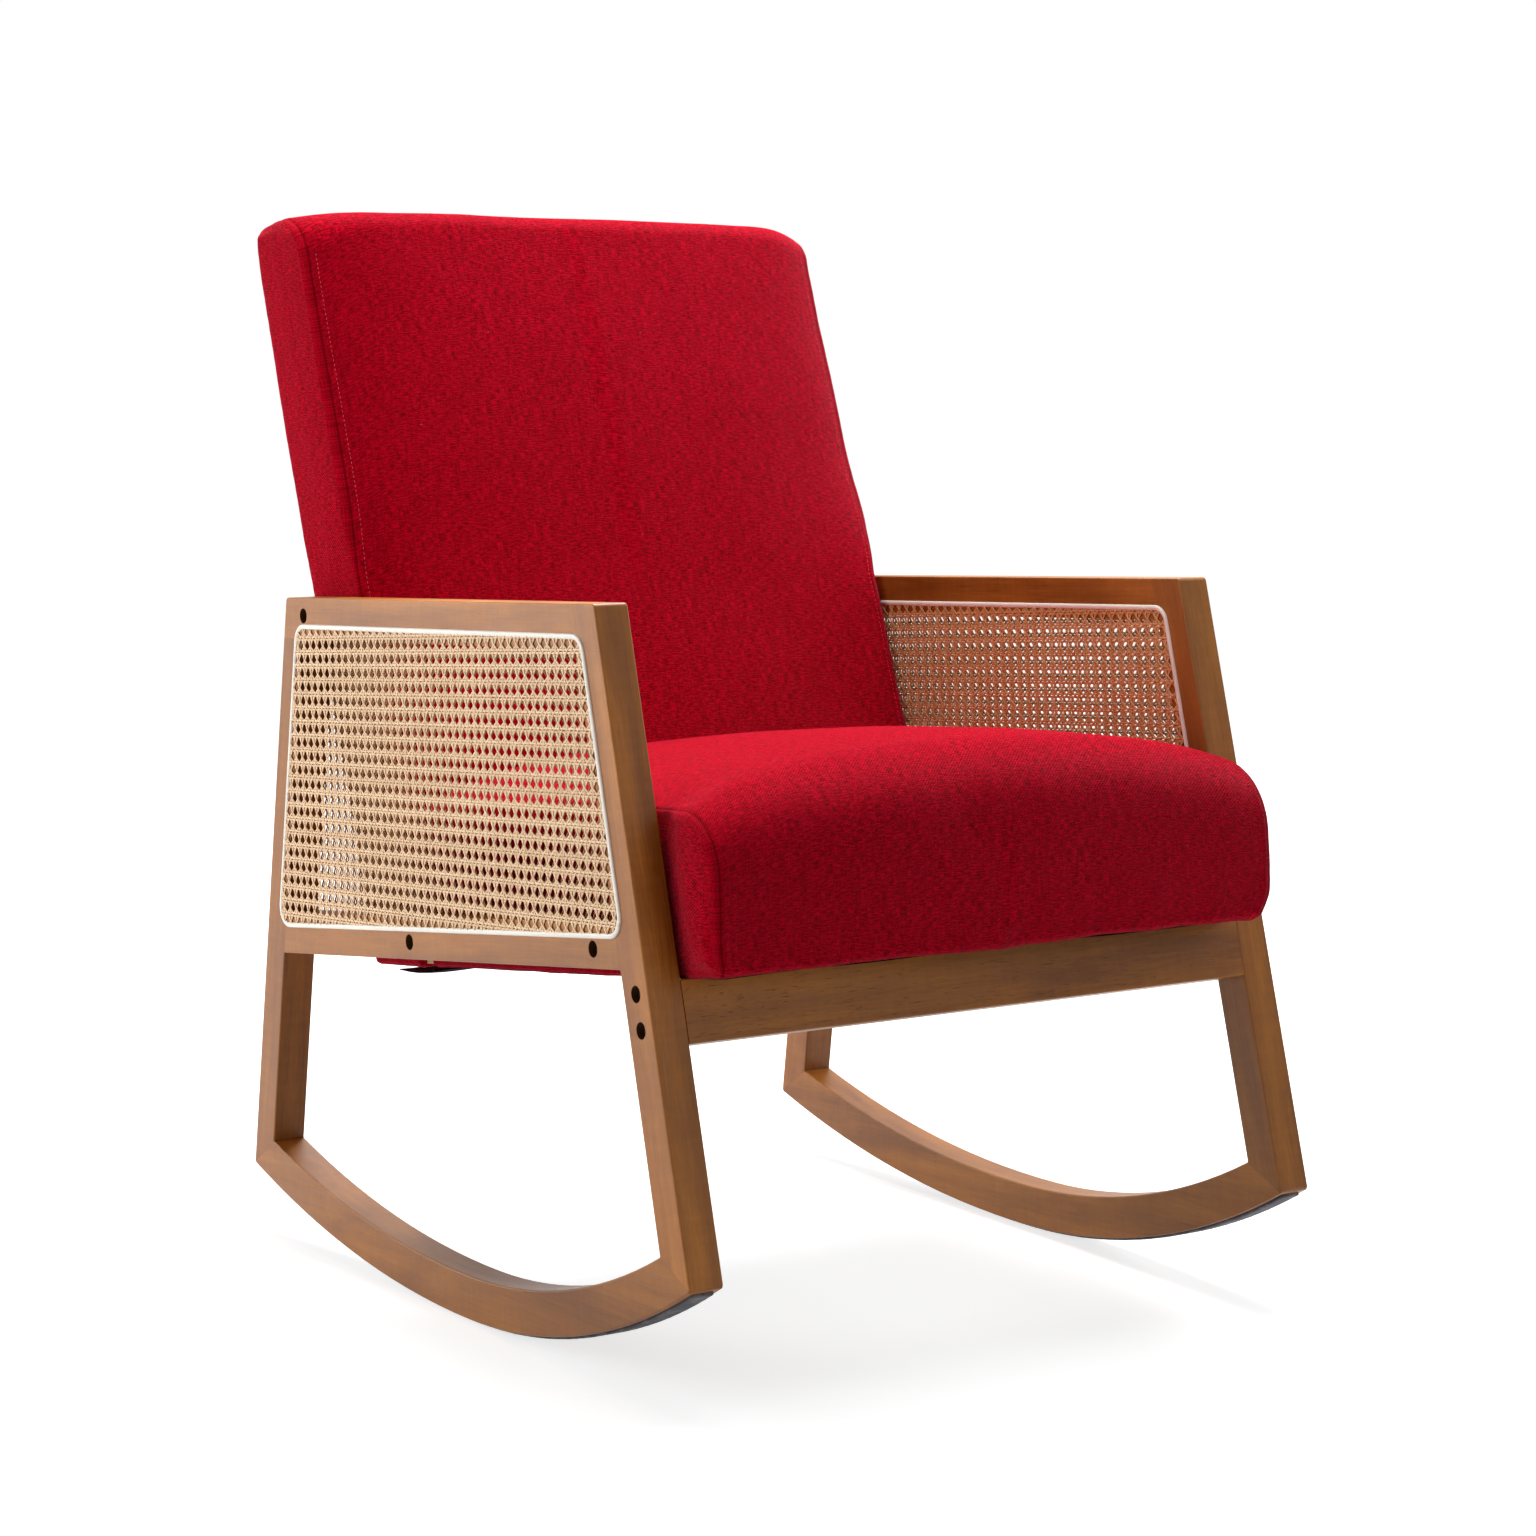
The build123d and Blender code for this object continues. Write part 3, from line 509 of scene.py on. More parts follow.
def make_fibre():
    """Split cane or reed: streaks along the strand and a tone of its own for each."""
    fibre = Effect("Split fibre", {"Vector": "Vector", "Tone": "Float", **TWO_TONES}, LAID)
    given = fibre.given
    streak = fibre.cloud(fibre.scaled(given["Vector"], (60, 1800, 1800)), 1.0, 3.0, 0.6)
    patch = fibre.cloud(fibre.scaled(given["Vector"], (28, 28, 28)), 1.0)
    tone = fibre.weighted((streak, 0.5), (given["Tone"], 0.5), (patch, 0.5))
    fibre.put(
        Color=fibre.mix(fibre.ranged(tone, 0.35, 0.95), given["Dark"], given["Light"]),
        Roughness=fibre.ranged(streak, 0.3, 0.7, 0.34, 0.52),
        Height=streak,
    )


# ---- finishes ----
def long_axis(name):
    """The direction a packed member runs in, from its own shape."""
    co = coordinates(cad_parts[name].data)
    co = co - co.mean(0)
    return Vector(np.linalg.eigh(co.T @ co)[1][:, -1])


def grain_vector(wood, axis, seed):
    """Coordinates whose first one runs along the grain; the seed moves them to a piece of their own."""
    side = axis.cross(Vector((0.31, 0.17, 0.93))).normalized()
    return wood.combined(
        wood.plus(wood.dotted(wood.place, axis), seed * 0.37),
        wood.plus(wood.dotted(wood.place, side), seed * 0.11),
        wood.dotted(wood.place, axis.cross(side)),
    )


def plane_offset(wood, point, direction):
    """How far a point lies from a line of the side view, upward or rearward of it."""
    y, z = packed(point)
    square = Vector((0.0, -direction[1], direction[0]))
    return wood.maths("SUBTRACT", wood.dotted(wood.place, square), square.y * y + square.z * z)


def wood_finish(name, axis, seed, light, dark, pores, joints=(), bores=(), rough=0.0, corner=None):
    """Stained and oiled wood along an axis, with a thin glue line at each joint and painted shade darkening
    each bore.

    A corner is a line of the side view, an axis and a seed: ahead of the line the grain is the next member's.
    """
    wood = Finish(name, specular_ior_level=0.30)
    grain_at = grain_vector(wood, axis, seed)
    if corner:
        line, other_axis, other_seed = corner
        ahead = wood.maths("LESS_THAN", plane_offset(wood, *line), 0.0)
        other = grain_vector(wood, other_axis, other_seed)
        grain_at = wood.node("Mix", {0: ahead, 4: grain_at, 5: other}, data_type="VECTOR")[1]
    grain = wood.effect("Wood grain", Vector=grain_at, Light=rgba(light), Dark=rgba(dark), Pores=pores)
    stain = wood.patches(wood.scaled(grain_at, (0.3, 1, 1)), 26.0, 0.5)
    colour = wood.mix(wood.times(stain, 0.45), grain["Color"], rgba(dark))
    for line in joints:
        off = wood.maths("ABSOLUTE", plane_offset(wood, *line))
        glue = wood.times(wood.ranged(off, 0.0001, 0.0006, 1.0, 0.0), 0.25)
        colour = wood.mix(glue, colour, (0.05, 0.02, 0.008, 1))
    # Painted shade: the wall of each bore is darkened nearly to black.
    for bore in bores:
        flat = wood.scaled(wood.place, (0, 1, 1))
        reach = wood.vector("DISTANCE", flat, (0.0, *packed(bore)), "Value")
        inside = wood.times(wood.maths("LESS_THAN", reach, BORE_RADIUS), 0.85)
        colour = wood.mix(inside, colour, (0.035, 0.014, 0.005, 1))
    return wood.lay(colour, grain["Height"], 0.00012, wood.plus(grain["Roughness"], rough))


def fibre_finish(name, light, dark, relief, woven):
    """Split cane or reed. Woven strands carry coordinates and a tone; those of a reed come from its place."""
    strand = Finish(name, specular_ior_level=0.5)
    if woven:
        vector, tone = strand.marked("strand", "Vector"), strand.marked("strand_tone", "Fac")
    else:
        spread = ((0, 1, 0), (0.7, 0, 0.1), (0, 0, 0.02))
        vector = strand.combined(*[strand.dotted(strand.place, direction) for direction in spread])
        tone = strand.cloud(strand.place, 12.0)
    fibre = strand.effect("Split fibre", Vector=vector, Tone=tone, Light=rgba(light), Dark=rgba(dark))
    return strand.lay(fibre["Color"], fibre["Height"], relief, fibre["Roughness"])


def cloth_finish(name, light, dark, yarn, relief, cut=True, lint=0.0, sheen=0.30):
    """Woven cloth. A cut piece's threads follow its flat pattern, and those of webbing follow the chair."""
    cloth = Finish(
        name, roughness=0.9, specular_ior_level=0.01, sheen_weight=sheen, sheen_roughness=0.24,
        sheen_tint=(1.0, 0.36, 0.48, 1.0),
    )
    flat = cloth.node("UVMap", {}, uv_map="cloth")[0] if cut else cloth.place
    woven = cloth.effect("Woven cloth", Vector=flat, Yarn=yarn, Light=rgba(light), Dark=rgba(dark))
    colour = cloth.mix(cloth.times(cloth.patches(flat, 24.0, 0.5), 0.12), woven["Color"], rgba(dark))
    if lint:
        cells = cloth.node("TexVoronoi", {"Vector": cloth.place, "Scale": 46.0}, feature="F1")
        speck = cloth.ranged(cells["Distance"], 0.012, 0.018, 1.0, 0.0)
        chosen = cloth.maths("GREATER_THAN", cloth.node("SeparateColor", {0: cells["Color"]})[0], 0.72)
        speck = cloth.times(cloth.times(speck, chosen), lint)
        colour = cloth.mix(speck, colour, (0.75, 0.5, 0.42, 1))
    # Painted shade darkens the cloth along the marked seams.
    seam = cloth.ranged(cloth.marked("seam", "Fac"), 0.25, 0.85)
    colour = cloth.mix(cloth.times(seam, 0.5), colour, rgba(dark, 0.12))
    return cloth.lay(colour, woven["Height"], relief)


# ---- cane ----
def panel_outline(node_name):
    """The outline of a packed cane sheet in the side view, as a convex loop of (y, z)."""
    points = sorted({(round(v[1], 6), round(v[2], 6)) for v in coordinates(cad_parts[node_name].data)})

    def turns_out(a, b, p):
        return (b[0] - a[0]) * (p[1] - a[1]) - (b[1] - a[1]) * (p[0] - a[0]) > 0

    def half(run):
        hull = []
        for p in run:
            while len(hull) > 1 and not turns_out(hull[-2], hull[-1], p):
                hull.pop()
            hull.append(p)
        return hull[:-1]

    return half(points) + half(points[::-1])


def clip(outline, origin, direction):
    """The stretch of a line inside a convex anticlockwise loop."""
    low, high = -9.0, 9.0
    for a, b in zip(outline, outline[1:] + outline[:1]):
        nx, ny = -(b[1] - a[1]), b[0] - a[0]
        offset = nx * (origin[0] - a[0]) + ny * (origin[1] - a[1])
        rate = nx * direction[0] + ny * direction[1]
        if abs(rate) < 1e-12:
            if offset < 0:
                return None
        elif rate > 0:
            low = max(low, -offset / rate)
        else:
            high = min(high, -offset / rate)
    return (low, high) if high - low > 0.004 else None


def strand_runs(pitch, spread, reach):
    """Every strand of the six-way weave: its start, its direction, its period and its height at places."""
    rows = int(reach / pitch) + 1
    slant = sqrt(0.5)
    third = pitch * slant / 3
    swing = [cos(pi * i / 3) for i in range(6)]
    for k in range(-rows, rows + 1):
        for side in (-1, 1):
            shift = k * pitch + side * spread
            for start, direction, lift in (((0.0, shift), (1.0, 0.0), 0.5), ((shift, 0.0), (0.0, 1.0), -0.5)):
                places = [(-spread, -side * lift), (spread, side * lift), (pitch / 2, 0.0)]
                yield start, direction, pitch, places
        for way in (1, -1):
            places = [(third * i, way * swing[i]) for i in range(6)]
            yield (0.0, (k + 0.5) * pitch), (slant, way * slant), 6 * third, places


def weave_panel(name, node_name, outward, hole, material):
    """A panel of six-way woven cane in place of a plain packed sheet."""
    sizes = settings()
    pitch, width, thick = sizes.cane_pitch, sizes.strand_width, sizes.strand_thickness
    turn = sizes.cane_turn
    row = (-cos(turn), sin(turn))
    column = (-sin(turn), -cos(turn))
    low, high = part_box(node_name)
    middle = (low.x + high.x) / 2 + outward * 0.00025
    outline = panel_outline(node_name)
    centre = np.mean(outline, axis=0)
    grow = 1.0 + 0.0012 / 0.15
    loop = []
    for p in outline:
        q = centre + (np.array(p) - centre) * grow - np.array(hole)
        loop.append(tuple(q[0] * d[0] + q[1] * d[1] + pitch / 2 for d in (row, column)))
    if sum(a[0] * b[1] - b[0] * a[1] for a, b in zip(loop, loop[1:] + loop[:1])) < 0:
        loop.reverse()
    reach = max(max(abs(p[0]), abs(p[1])) for p in loop) * 1.5
    section = ((-0.5, -0.25), (-0.27, 0.5), (0.27, 0.5), (0.5, -0.25))
    verts, faces, strand, tones = [], [], [], []
    for index, (origin, direction, period, places) in enumerate(strand_runs(pitch, width * 0.6, reach)):
        span = clip(loop, origin, direction)
        if span is None:
            continue
        first, last = floor(span[0] / period) - 1, ceil(span[1] / period) + 1
        stops = sorted((k * period + s, h) for k in range(first, last + 1) for s, h in places)
        at, heights = np.array(stops).T
        inside = (at > span[0] + 0.0006) & (at < span[1] - 0.0006)
        run = np.concatenate(([span[0]], at[inside], [span[1]]))
        slack = (shade(index + 0.5) - 0.5) * 0.0003
        faces += tube_faces(len(verts), len(run), len(section))
        for t, h in zip(run, np.interp(run, at, heights) * thick):
            for across, up in section:
                u = origin[0] + direction[0] * t - direction[1] * (across * width + slack) - pitch / 2
                v = origin[1] + direction[1] * t + direction[0] * (across * width + slack) - pitch / 2
                y = hole[0] + row[0] * u + column[0] * v
                z = hole[1] + row[1] * u + column[1] * v
                verts.append((middle + outward * (h + up * thick), y, z))
                strand.append((t + index * 0.713, across * width, index * 0.019))
                tones.append(shade(index))
    obj = make_object(name, verts, faces, material)
    mark_points(obj.data, "strand", "FLOAT_VECTOR", strand)
    mark_points(obj.data, "strand_tone", "FLOAT", tones)
    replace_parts(obj, node_name)


def reed_loop(name, node_name, outward, material):
    """The rounded reed pressed into the groove round a panel, a little wider than the groove."""
    width, height, inset = 0.0047, 0.0017, 0.0268
    low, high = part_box(node_name)
    face = (low.x if outward < 0 else high.x) - outward * 0.0016
    sides = (
        (ARM_BACK, EDGE_TOP), (ARM_FRONT, EDGE_FRONT), (SIDE_RAIL_BACK, EDGE_RAIL), (ARM_BACK, EDGE_BACK)
    )
    sides = [(inner(p, d, inset), d) for p, d in sides]
    corners = [meet(*a, *b) for a, b in zip(sides, sides[1:] + sides[:1])]
    path = rounded_ring(corners, [0.0160] * 4, 14, (60, 60))
    section = [(-0.5, -0.4)]
    section += [(-0.5 * cos(pi * k / 8), sin(pi * k / 8) ** 0.8) for k in range(9)]
    section += [(0.5, -0.4)]
    verts = []
    for i, p in enumerate(path):
        ahead = unit(path[i - 1], path[(i + 1) % len(path)])
        swell = 1.0 + 0.05 * noise(Vector((p[0] * 60, p[1] * 60, outward)))
        y, z = packed(p)
        for across, up in section:
            offset = across * width * swell
            verts.append((face + outward * up * height, y - ahead[1] * offset, z + ahead[0] * offset))
    faces = tube_faces(0, len(path), len(section), looped=True)
    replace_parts(make_object(name, verts, faces, material), node_name)


# ---- cushions ----
def turned(v, angle):
    return (v[0] * cos(angle) - v[1] * sin(angle), v[0] * sin(angle) + v[1] * cos(angle))


def rounded_ring(corners, radii, arc_steps, side_steps):
    """Points round a four-cornered section with rounded corners; the count never changes."""
    arcs = []
    for i, p in enumerate(corners):
        a, b = unit(p, corners[i - 1]), unit(p, corners[(i + 1) % 4])
        half = atan2(abs(a[0] * b[1] - a[1] * b[0]), a[0] * b[0] + a[1] * b[1]) / 2
        centre = along(p, unit((0, 0), (a[0] + b[0], a[1] + b[1])), radii[i] / sin(half))
        ends = [along(p, d, radii[i] / tan(half)) for d in (a, b)]
        arm, away = [(end[0] - centre[0], end[1] - centre[1]) for end in ends]
        sweep = atan2(arm[0] * away[1] - arm[1] * away[0], arm[0] * away[0] + arm[1] * away[1])
        arcs.append([along(centre, turned(arm, sweep * k / arc_steps), 1.0) for k in range(arc_steps + 1)])
    ring = []
    for i, arc in enumerate(arcs):
        ring += arc
        a, b = arc[-1], arcs[(i + 1) % 4][0]
        steps = side_steps[i % 2]
        ring += [along(a, (b[0] - a[0], b[1] - a[1]), k / steps) for k in range(1, steps)]
    return ring


def roll(depth, radius):
    """How far a padded end has swelled, at a depth in from its seam: 0 at the seam, 1 past the radius."""
    away = 1.0 - min(1.0, depth / radius)
    return sqrt(max(0.0, 1.0 - away * away))


def cross_stations(seam):
    """Places across the chair, closer together beside the seams."""
    flat = seam - 0.0105
    count = int(2 * flat / ACROSS)
    ends = [seam - d for d in (0.0060, 0.0030, 0.0012, 0.0)]
    return [-x for x in reversed(ends)] + [-flat + 2 * flat * k / count for k in range(count + 1)] + ends


class Form:
    """A closed padded form: rings of points across the chair, and a swelled panel sewn to each end.

    The haste gives how soon a panel swells in from its two short and its two long sides.
    """

    def __init__(self, seam, section, side_steps, swell, swell_radius, haste=(1, 1, 1, 1)):
        self.side_steps = side_steps
        self.swell_radius = swell_radius
        self.haste = haste
        rims = (0.0012, 0.0034, 0.0070)
        stations = cross_stations(seam)
        self.first = len(rims)
        self.last = len(rims) + len(stations) - 1
        lines = [(-seam, d) for d in reversed(rims)]
        lines += [(x, 0.0) for x in stations]
        lines += [(seam, d) for d in rims]
        self.stations = [x for x, d in lines]
        self.rings = [section(x, d) for x, d in lines]
        self.ring_count = len(self.rings[0])
        self.verts, self.swelled, self.faces, self.uvs = [], [], [], []
        for (x, d), ring in zip(lines, self.rings):
            self.verts += [[x, y, z] for y, z in ring]
            self.swelled += [roll(d, swell_radius)] * len(ring)
        self.add_sides()
        self.add_cap(0, rims[-1])
        self.add_cap(len(lines) - 1, rims[-1])
        for vert, share in zip(self.verts, self.swelled):
            side = -1.0 if vert[0] < 0 else 1.0
            vert[0] += side * swell(vert[1] - DRAWN_Y, vert[2] - DRAWN_Z, side, share)

    def add_sides(self):
        middle = self.rings[len(self.rings) // 2]
        run = [0.0]
        for a, b in zip(middle, middle[1:] + middle[:1]):
            run.append(run[-1] + hypot(b[0] - a[0], b[1] - a[1]))
        n = self.ring_count
        for i, (u0, u1) in enumerate(zip(self.stations, self.stations[1:])):
            if u0 == u1:
                u1 += 0.003
            for j in range(n):
                a, b = i * n + j, i * n + (j + 1) % n
                self.faces.append((a, b, b + n, a + n))
                self.uvs.append(((u0, run[j]), (u0, run[j + 1]), (u1, run[j + 1]), (u1, run[j])))

    def add_cap(self, station, depth):
        """Closes one end with a grid between the four sides of its ring."""
        ring = self.rings[station]
        base = station * self.ring_count
        columns, rows = [steps + ARC_STEPS for steps in self.side_steps]
        corners = [ARC_STEPS // 2 + k for k in (0, columns, columns + rows, 2 * columns + rows)]

        def path(corner, count):
            return [(corner + k) % self.ring_count for k in range(count + 1)]

        bottom, rear = path(corners[0], columns), path(corners[1], rows)
        top, front = path(corners[2], columns)[::-1], path(corners[3], rows)[::-1]
        grid = [[None] * (columns + 1) for r in range(rows + 1)]
        for c in range(columns + 1):
            grid[0][c] = base + bottom[c]
            grid[rows][c] = base + top[c]
        for r in range(rows + 1):
            grid[r][0] = base + front[r]
            grid[r][columns] = base + rear[r]
        b, t, f, e = [[np.array(ring[k]) for k in run] for run in (bottom, top, front, rear)]
        long_side = np.linalg.norm(b[-1] - b[0])
        short_side = np.linalg.norm(t[0] - b[0])
        first, last, low, high = self.haste
        for r in range(1, rows):
            v = r / rows
            for c in range(1, columns):
                u = c / columns
                p = (1 - v) * b[c] + v * t[c] + (1 - u) * f[r] + u * e[r]
                p = p - (1 - u) * (1 - v) * b[0] - u * (1 - v) * b[-1] - (1 - u) * v * t[0] - u * v * t[-1]
                reach = (min(u * first, (1 - u) * last) * long_side) ** -4
                reach += (min(v * low, (1 - v) * high) * short_side) ** -4
                grid[r][c] = len(self.verts)
                self.verts.append([self.stations[station], p[0], p[1]])
                self.swelled.append(roll(depth + reach ** -0.25, self.swell_radius))
        for lower, upper in zip(grid, grid[1:]):
            for c in range(columns):
                quad = (lower[c], lower[c + 1], upper[c + 1], upper[c])
                self.faces.append(quad)
                self.uvs.append(tuple((self.verts[k][1], self.verts[k][2]) for k in quad))

    def line(self, index, first=0, last=None):
        """The vertices of one ring, from one place on it to another."""
        last = self.ring_count - 1 if last is None else last
        return [index * self.ring_count + j for j in range(first, last + 1)]


def fill_cover(obj, held):
    """Lets the filling press the cover out, no further than the cap."""
    start = coordinates(obj.data)
    shrunk = start - normals(obj.data) * COVER_SHRINK
    shrunk[held] = start[held]
    set_coordinates(obj.data, shrunk)
    obj.vertex_groups.new(name="stapled").add([int(k) for k in np.nonzero(held)[0]], 1.0, "REPLACE")
    cloth = obj.modifiers.new("filling", "CLOTH")
    cover = cloth.settings
    cover.quality = 3
    cover.mass = 0.3
    cover.tension_stiffness = 30
    cover.compression_stiffness = 30
    cover.shear_stiffness = 12
    cover.bending_stiffness = 1.5
    cover.use_pressure = True
    cover.uniform_pressure_force = 4.0
    cover.effector_weights.gravity = 0.0
    cover.vertex_group_mass = "stapled"
    cloth.point_cache.frame_start = 1
    cloth.point_cache.frame_end = FILLING_FRAMES
    scene = bpy.context.scene
    for step in range(1, FILLING_FRAMES + 1):
        scene.frame_set(step)
    moved = coordinates(obj.evaluated_get(bpy.context.evaluated_depsgraph_get()).data)
    obj.modifiers.remove(cloth)
    scene.frame_set(1)
    shift = moved - shrunk
    shift *= min(1.0, settings().filling_cap / float(np.linalg.norm(shift, axis=1).max()))
    set_coordinates(obj.data, shrunk + shift)


def sink_seam(obj, form, depth):
    """Draws the cover in along both end seams and marks them for painted shade in the finish."""
    co = coordinates(obj.data)
    no = normals(obj.data)
    marked = np.zeros(len(co))
    for index in (form.first, form.last):
        line = form.line(index)
        co[line] -= no[line] * depth
        marked[line] = 1.0
        for beside in (index - 2, index + 2):
            line = form.line(beside)
            co[line] += no[line] * depth * 0.3
    set_coordinates(obj.data, co)
    mark_points(obj.data, "seam", "FLOAT", marked)


def refine(obj):
    """Divides the cover once more, with its coordinates kept where they are."""
    sub = obj.modifiers.new("finer", "SUBSURF")
    sub.levels = sub.render_levels = 1
    sub.uv_smooth = "NONE"
    graph = bpy.context.evaluated_depsgraph_get()
    finer = obj.evaluated_get(graph)
    mesh = bpy.data.meshes.new_from_object(finer, preserve_all_data_layers=True, depsgraph=graph)
    old = obj.data
    obj.modifiers.clear()
    obj.data = mesh
    mesh.name = old.name
    bpy.data.meshes.remove(old)


def knead(obj, scale, pulls):
    """Small unevenness of the filling under the cloth, and the pulls of its sewing."""
    co = coordinates(obj.data)
    no = normals(obj.data)
    for i, p in enumerate(co):
        co[i] = p + no[i] * (UNEVENNESS * noise(Vector(p) * scale) + pulls(p))
    set_coordinates(obj.data, co)


def upholster(name, node_name, form, held, seam_depth, scale, pulls):
    """Sews a form's cover, fills it, and puts it in place of a packed cushion."""
    obj = new_object(name, form.verts, form.faces, bpy.data.materials["Upholstery cloth"], form.uvs)
    co = coordinates(obj.data)
    fill_cover(obj, held(co[:, 1] - DRAWN_Y, co[:, 2] - DRAWN_Z))
    sink_seam(obj, form, seam_depth)
    refine(obj)
    knead(obj, scale, pulls)
    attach(obj, BODY)
    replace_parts(obj, node_name)
    return obj


def seat_form():
    """The seat's cushion: upright front, a broad rounding, and a crown that falls to the ends."""
    seam = settings().half_width - 0.0025
    wave_x = (-0.283, -0.275, -0.213, -0.110, 0.0, 0.108, 0.247, 0.283)
    wave_z = (-0.0022, -0.0018, -0.0008, -0.0003, -0.0022, 0.0006, -0.0014, -0.0022)

    def section(x, rim):
        q = min(1.0, abs(x) / seam)
        fall = q ** 2.4
        low_m = UNDERSIDE + rim
        front_y = SEAT_FRONT + rim
        last = q ** 10 * (0.0105 if x < 0 else 0.0035)
        top_front_m = 0.4650 - 0.030 * fall - last - rim
        top_rear_m = 0.4817 - 0.041 * fall - last * 0.6 - rim
        upright = (0.0, 1.0)
        bottom_front = meet((front_y, 0.0), upright, seat_point(0, low_m), SEAT_DIR)
        bottom_front = (bottom_front[0], bottom_front[1] + float(np.interp(x, wave_x, wave_z)))
        top_front = meet((front_y + 0.0045, 0.0), upright, seat_point(0, top_front_m), SEAT_DIR)
        rear = (back_point(0.007 * (1 - q * q) + 0.0012 + rim, 0), BACK_DIR)
        top_rear = meet(*rear, seat_point(0, top_rear_m), SEAT_DIR)
        bottom_rear = meet(*rear, seat_point(0, low_m), SEAT_DIR)
        rounding = 0.062 - (0.012 if x < 0 else 0.010) * q ** 5
        radii = [max(0.0015, r - rim) for r in (0.007 + 0.006 * q ** 8, 0.005, 0.018, rounding)]
        corners = [bottom_front, bottom_rear, top_rear, top_front]
        shaped = []
        for y, z in rounded_ring(corners, radii, ARC_STEPS, SEAT_GRID):
            s, m = on_seat(y, z)
            share = clamped((y - front_y) / (top_rear[0] - front_y))
            height = clamped((m - low_m) / (top_front_m - low_m))
            m += 0.0095 * 4 * share * (1 - share) * height ** 3
            shaped.append(packed(seat_point(s, m)))
        return shaped

    def swell(y, z, side, share):
        leg_y = ARM_FRONT[0] - (ARM_FRONT[1] - z) * tan(FRONT_LEAN)
        ahead = smooth_step(leg_y - y, 0.001, 0.036)
        height = clamped((z - 0.342) / 0.123)
        tuck = 1.0 - smooth_step(height, 0.0, 0.22)
        push = (0.0035 + ahead * 0.0085) * share - ahead * tuck * (0.0030 if side < 0 else 0.0080)
        return push + ahead * sin(pi * height ** 0.68) * (0.0 if side < 0 else 0.0034)

    return Form(seam, section, SEAT_GRID, swell, 0.038)


def top_turn(t):
    """How far a place up the back has turned forward over its top rail."""
    return max(0.0, t - BACK_TOP_TURN) / 0.026


def back_form():
    """The back's cushion: crowned in front, with rounded sides that widen a little to the top."""
    seam = settings().half_width - 0.0031
    top_x = (-0.283, -0.240, -0.186, -0.109, 0.024, 0.134, 0.249, 0.283)
    top_t = (1.0408, 1.0396, 1.0378, 1.0382, 1.0357, 1.0350, 1.0324, 1.0292)
    widths = (0.650, 0.675, 0.72, 0.78, 0.90, 0.97, 1.03)
    wider_left = (0.0, 0.0008, -0.0006, -0.0010, -0.0004, -0.0008, -0.0030)
    wider_right = (0.0, 0.0045, 0.0076, 0.0080, 0.0080, 0.0076, 0.0072)

    def section(x, rim):
        q = min(1.0, abs(x) / seam)
        near = q ** 6 if x < 0 else 0.0
        corner = max(0.0, abs(x) - (seam - 0.060)) / 0.060
        t_top = float(np.interp(x, top_x, top_t)) - (0.0015 if x < 0 else 0.0040) * corner ** 2.5 - rim
        bottom = (seat_point(0, UNDERSIDE + rim), SEAT_DIR)
        front_n = -0.0120 * q ** 11 - rim
        rear_n = BACK_REAR + rim
        bottom_front = meet(back_point(front_n, 0), BACK_DIR, *bottom)
        bottom_rear = meet(back_point(rear_n, 0), BACK_DIR, *bottom)
        corners = [bottom_front, back_point(front_n, t_top), back_point(rear_n, t_top), bottom_rear]
        radii = (0.006, 0.022 + 0.008 * q ** 6 + 0.020 * near, 0.012 + 0.006 * q ** 6 + 0.002 * near, 0.005)
        shaped = []
        for y, z in rounded_ring(corners, [max(0.0015, r - rim) for r in radii], ARC_STEPS, BACK_GRID):
            n, t = on_back(y, z)
            forward = clamped((n - rear_n) / (front_n - rear_n))
            up = clamped((t - 0.30) / (1.036 - 0.30))
            n += 0.007 * (1 - q * q) * (1 - up ** 8) * forward ** 2
            if x < 0:
                n -= 0.007 * q ** 8 * (1 - smooth_step(t, 0.64, 0.76)) * forward ** 2
            else:
                n += 0.020 * q ** 8 * (1 - smooth_step(t, 0.62, 0.80)) * forward ** 2
            n += top_turn(t) * (0.007 - 0.003 * near) * (1 - forward)
            t += (0.003 + 0.008 * near) * (1 - forward) * smooth_step(t, 0.985, 1.025)
            shaped.append(packed(back_point(n, t)))
        return shaped

    def swell(y, z, side, share):
        t = on_back(y, z)[1]
        wider = float(np.interp(t, widths, wider_left if side < 0 else wider_right))
        return wider + (0.0045 + 0.0080 * smooth_step(t, 0.66, 0.74)) * share

    return Form(seam, section, BACK_GRID, swell, 0.034, haste=(1, 1.5, 1, 1.15))


def stitch_row(name, cover, line, material):
    """A row of small thread stitches along a line of the cover's vertices."""
    pitch, long, radius, around = settings().stitch_pitch, 0.0030, 0.00024, 6
    co = coordinates(cover.data)[line]
    no = normals(cover.data)[line]
    at = np.concatenate(([0.0], np.cumsum(np.linalg.norm(np.diff(co, axis=0), axis=1))))

    def part_way(places, way):
        return Vector([np.interp(way, at, places[:, k]) for k in range(3)])

    verts, faces = [], []
    rings = ((-0.5, 0.25), (-0.40, 0.85), (-0.15, 1.0), (0.15, 1.0), (0.40, 0.85), (0.5, 0.25))
    for i in range(int(at[-1] / pitch)):
        middle = (i + 0.5) * pitch
        p = part_way(co, middle)
        up = part_way(no, middle).normalized()
        forward = (part_way(co, middle + 0.001) - p).normalized()
        aside = forward.cross(up).normalized()
        faces += tube_faces(len(verts), len(rings), around)
        for share, fat in rings:
            sink = radius * (0.15 - 1.1 * (2 * share) ** 2)
            for k in range(around):
                angle = 2 * pi * k / around
                q = p + forward * (share * long) + up * (sink + sin(angle) * radius * fat)
                verts.append(q + aside * (cos(angle) * radius * fat))
    make_object(name, verts, faces, material)


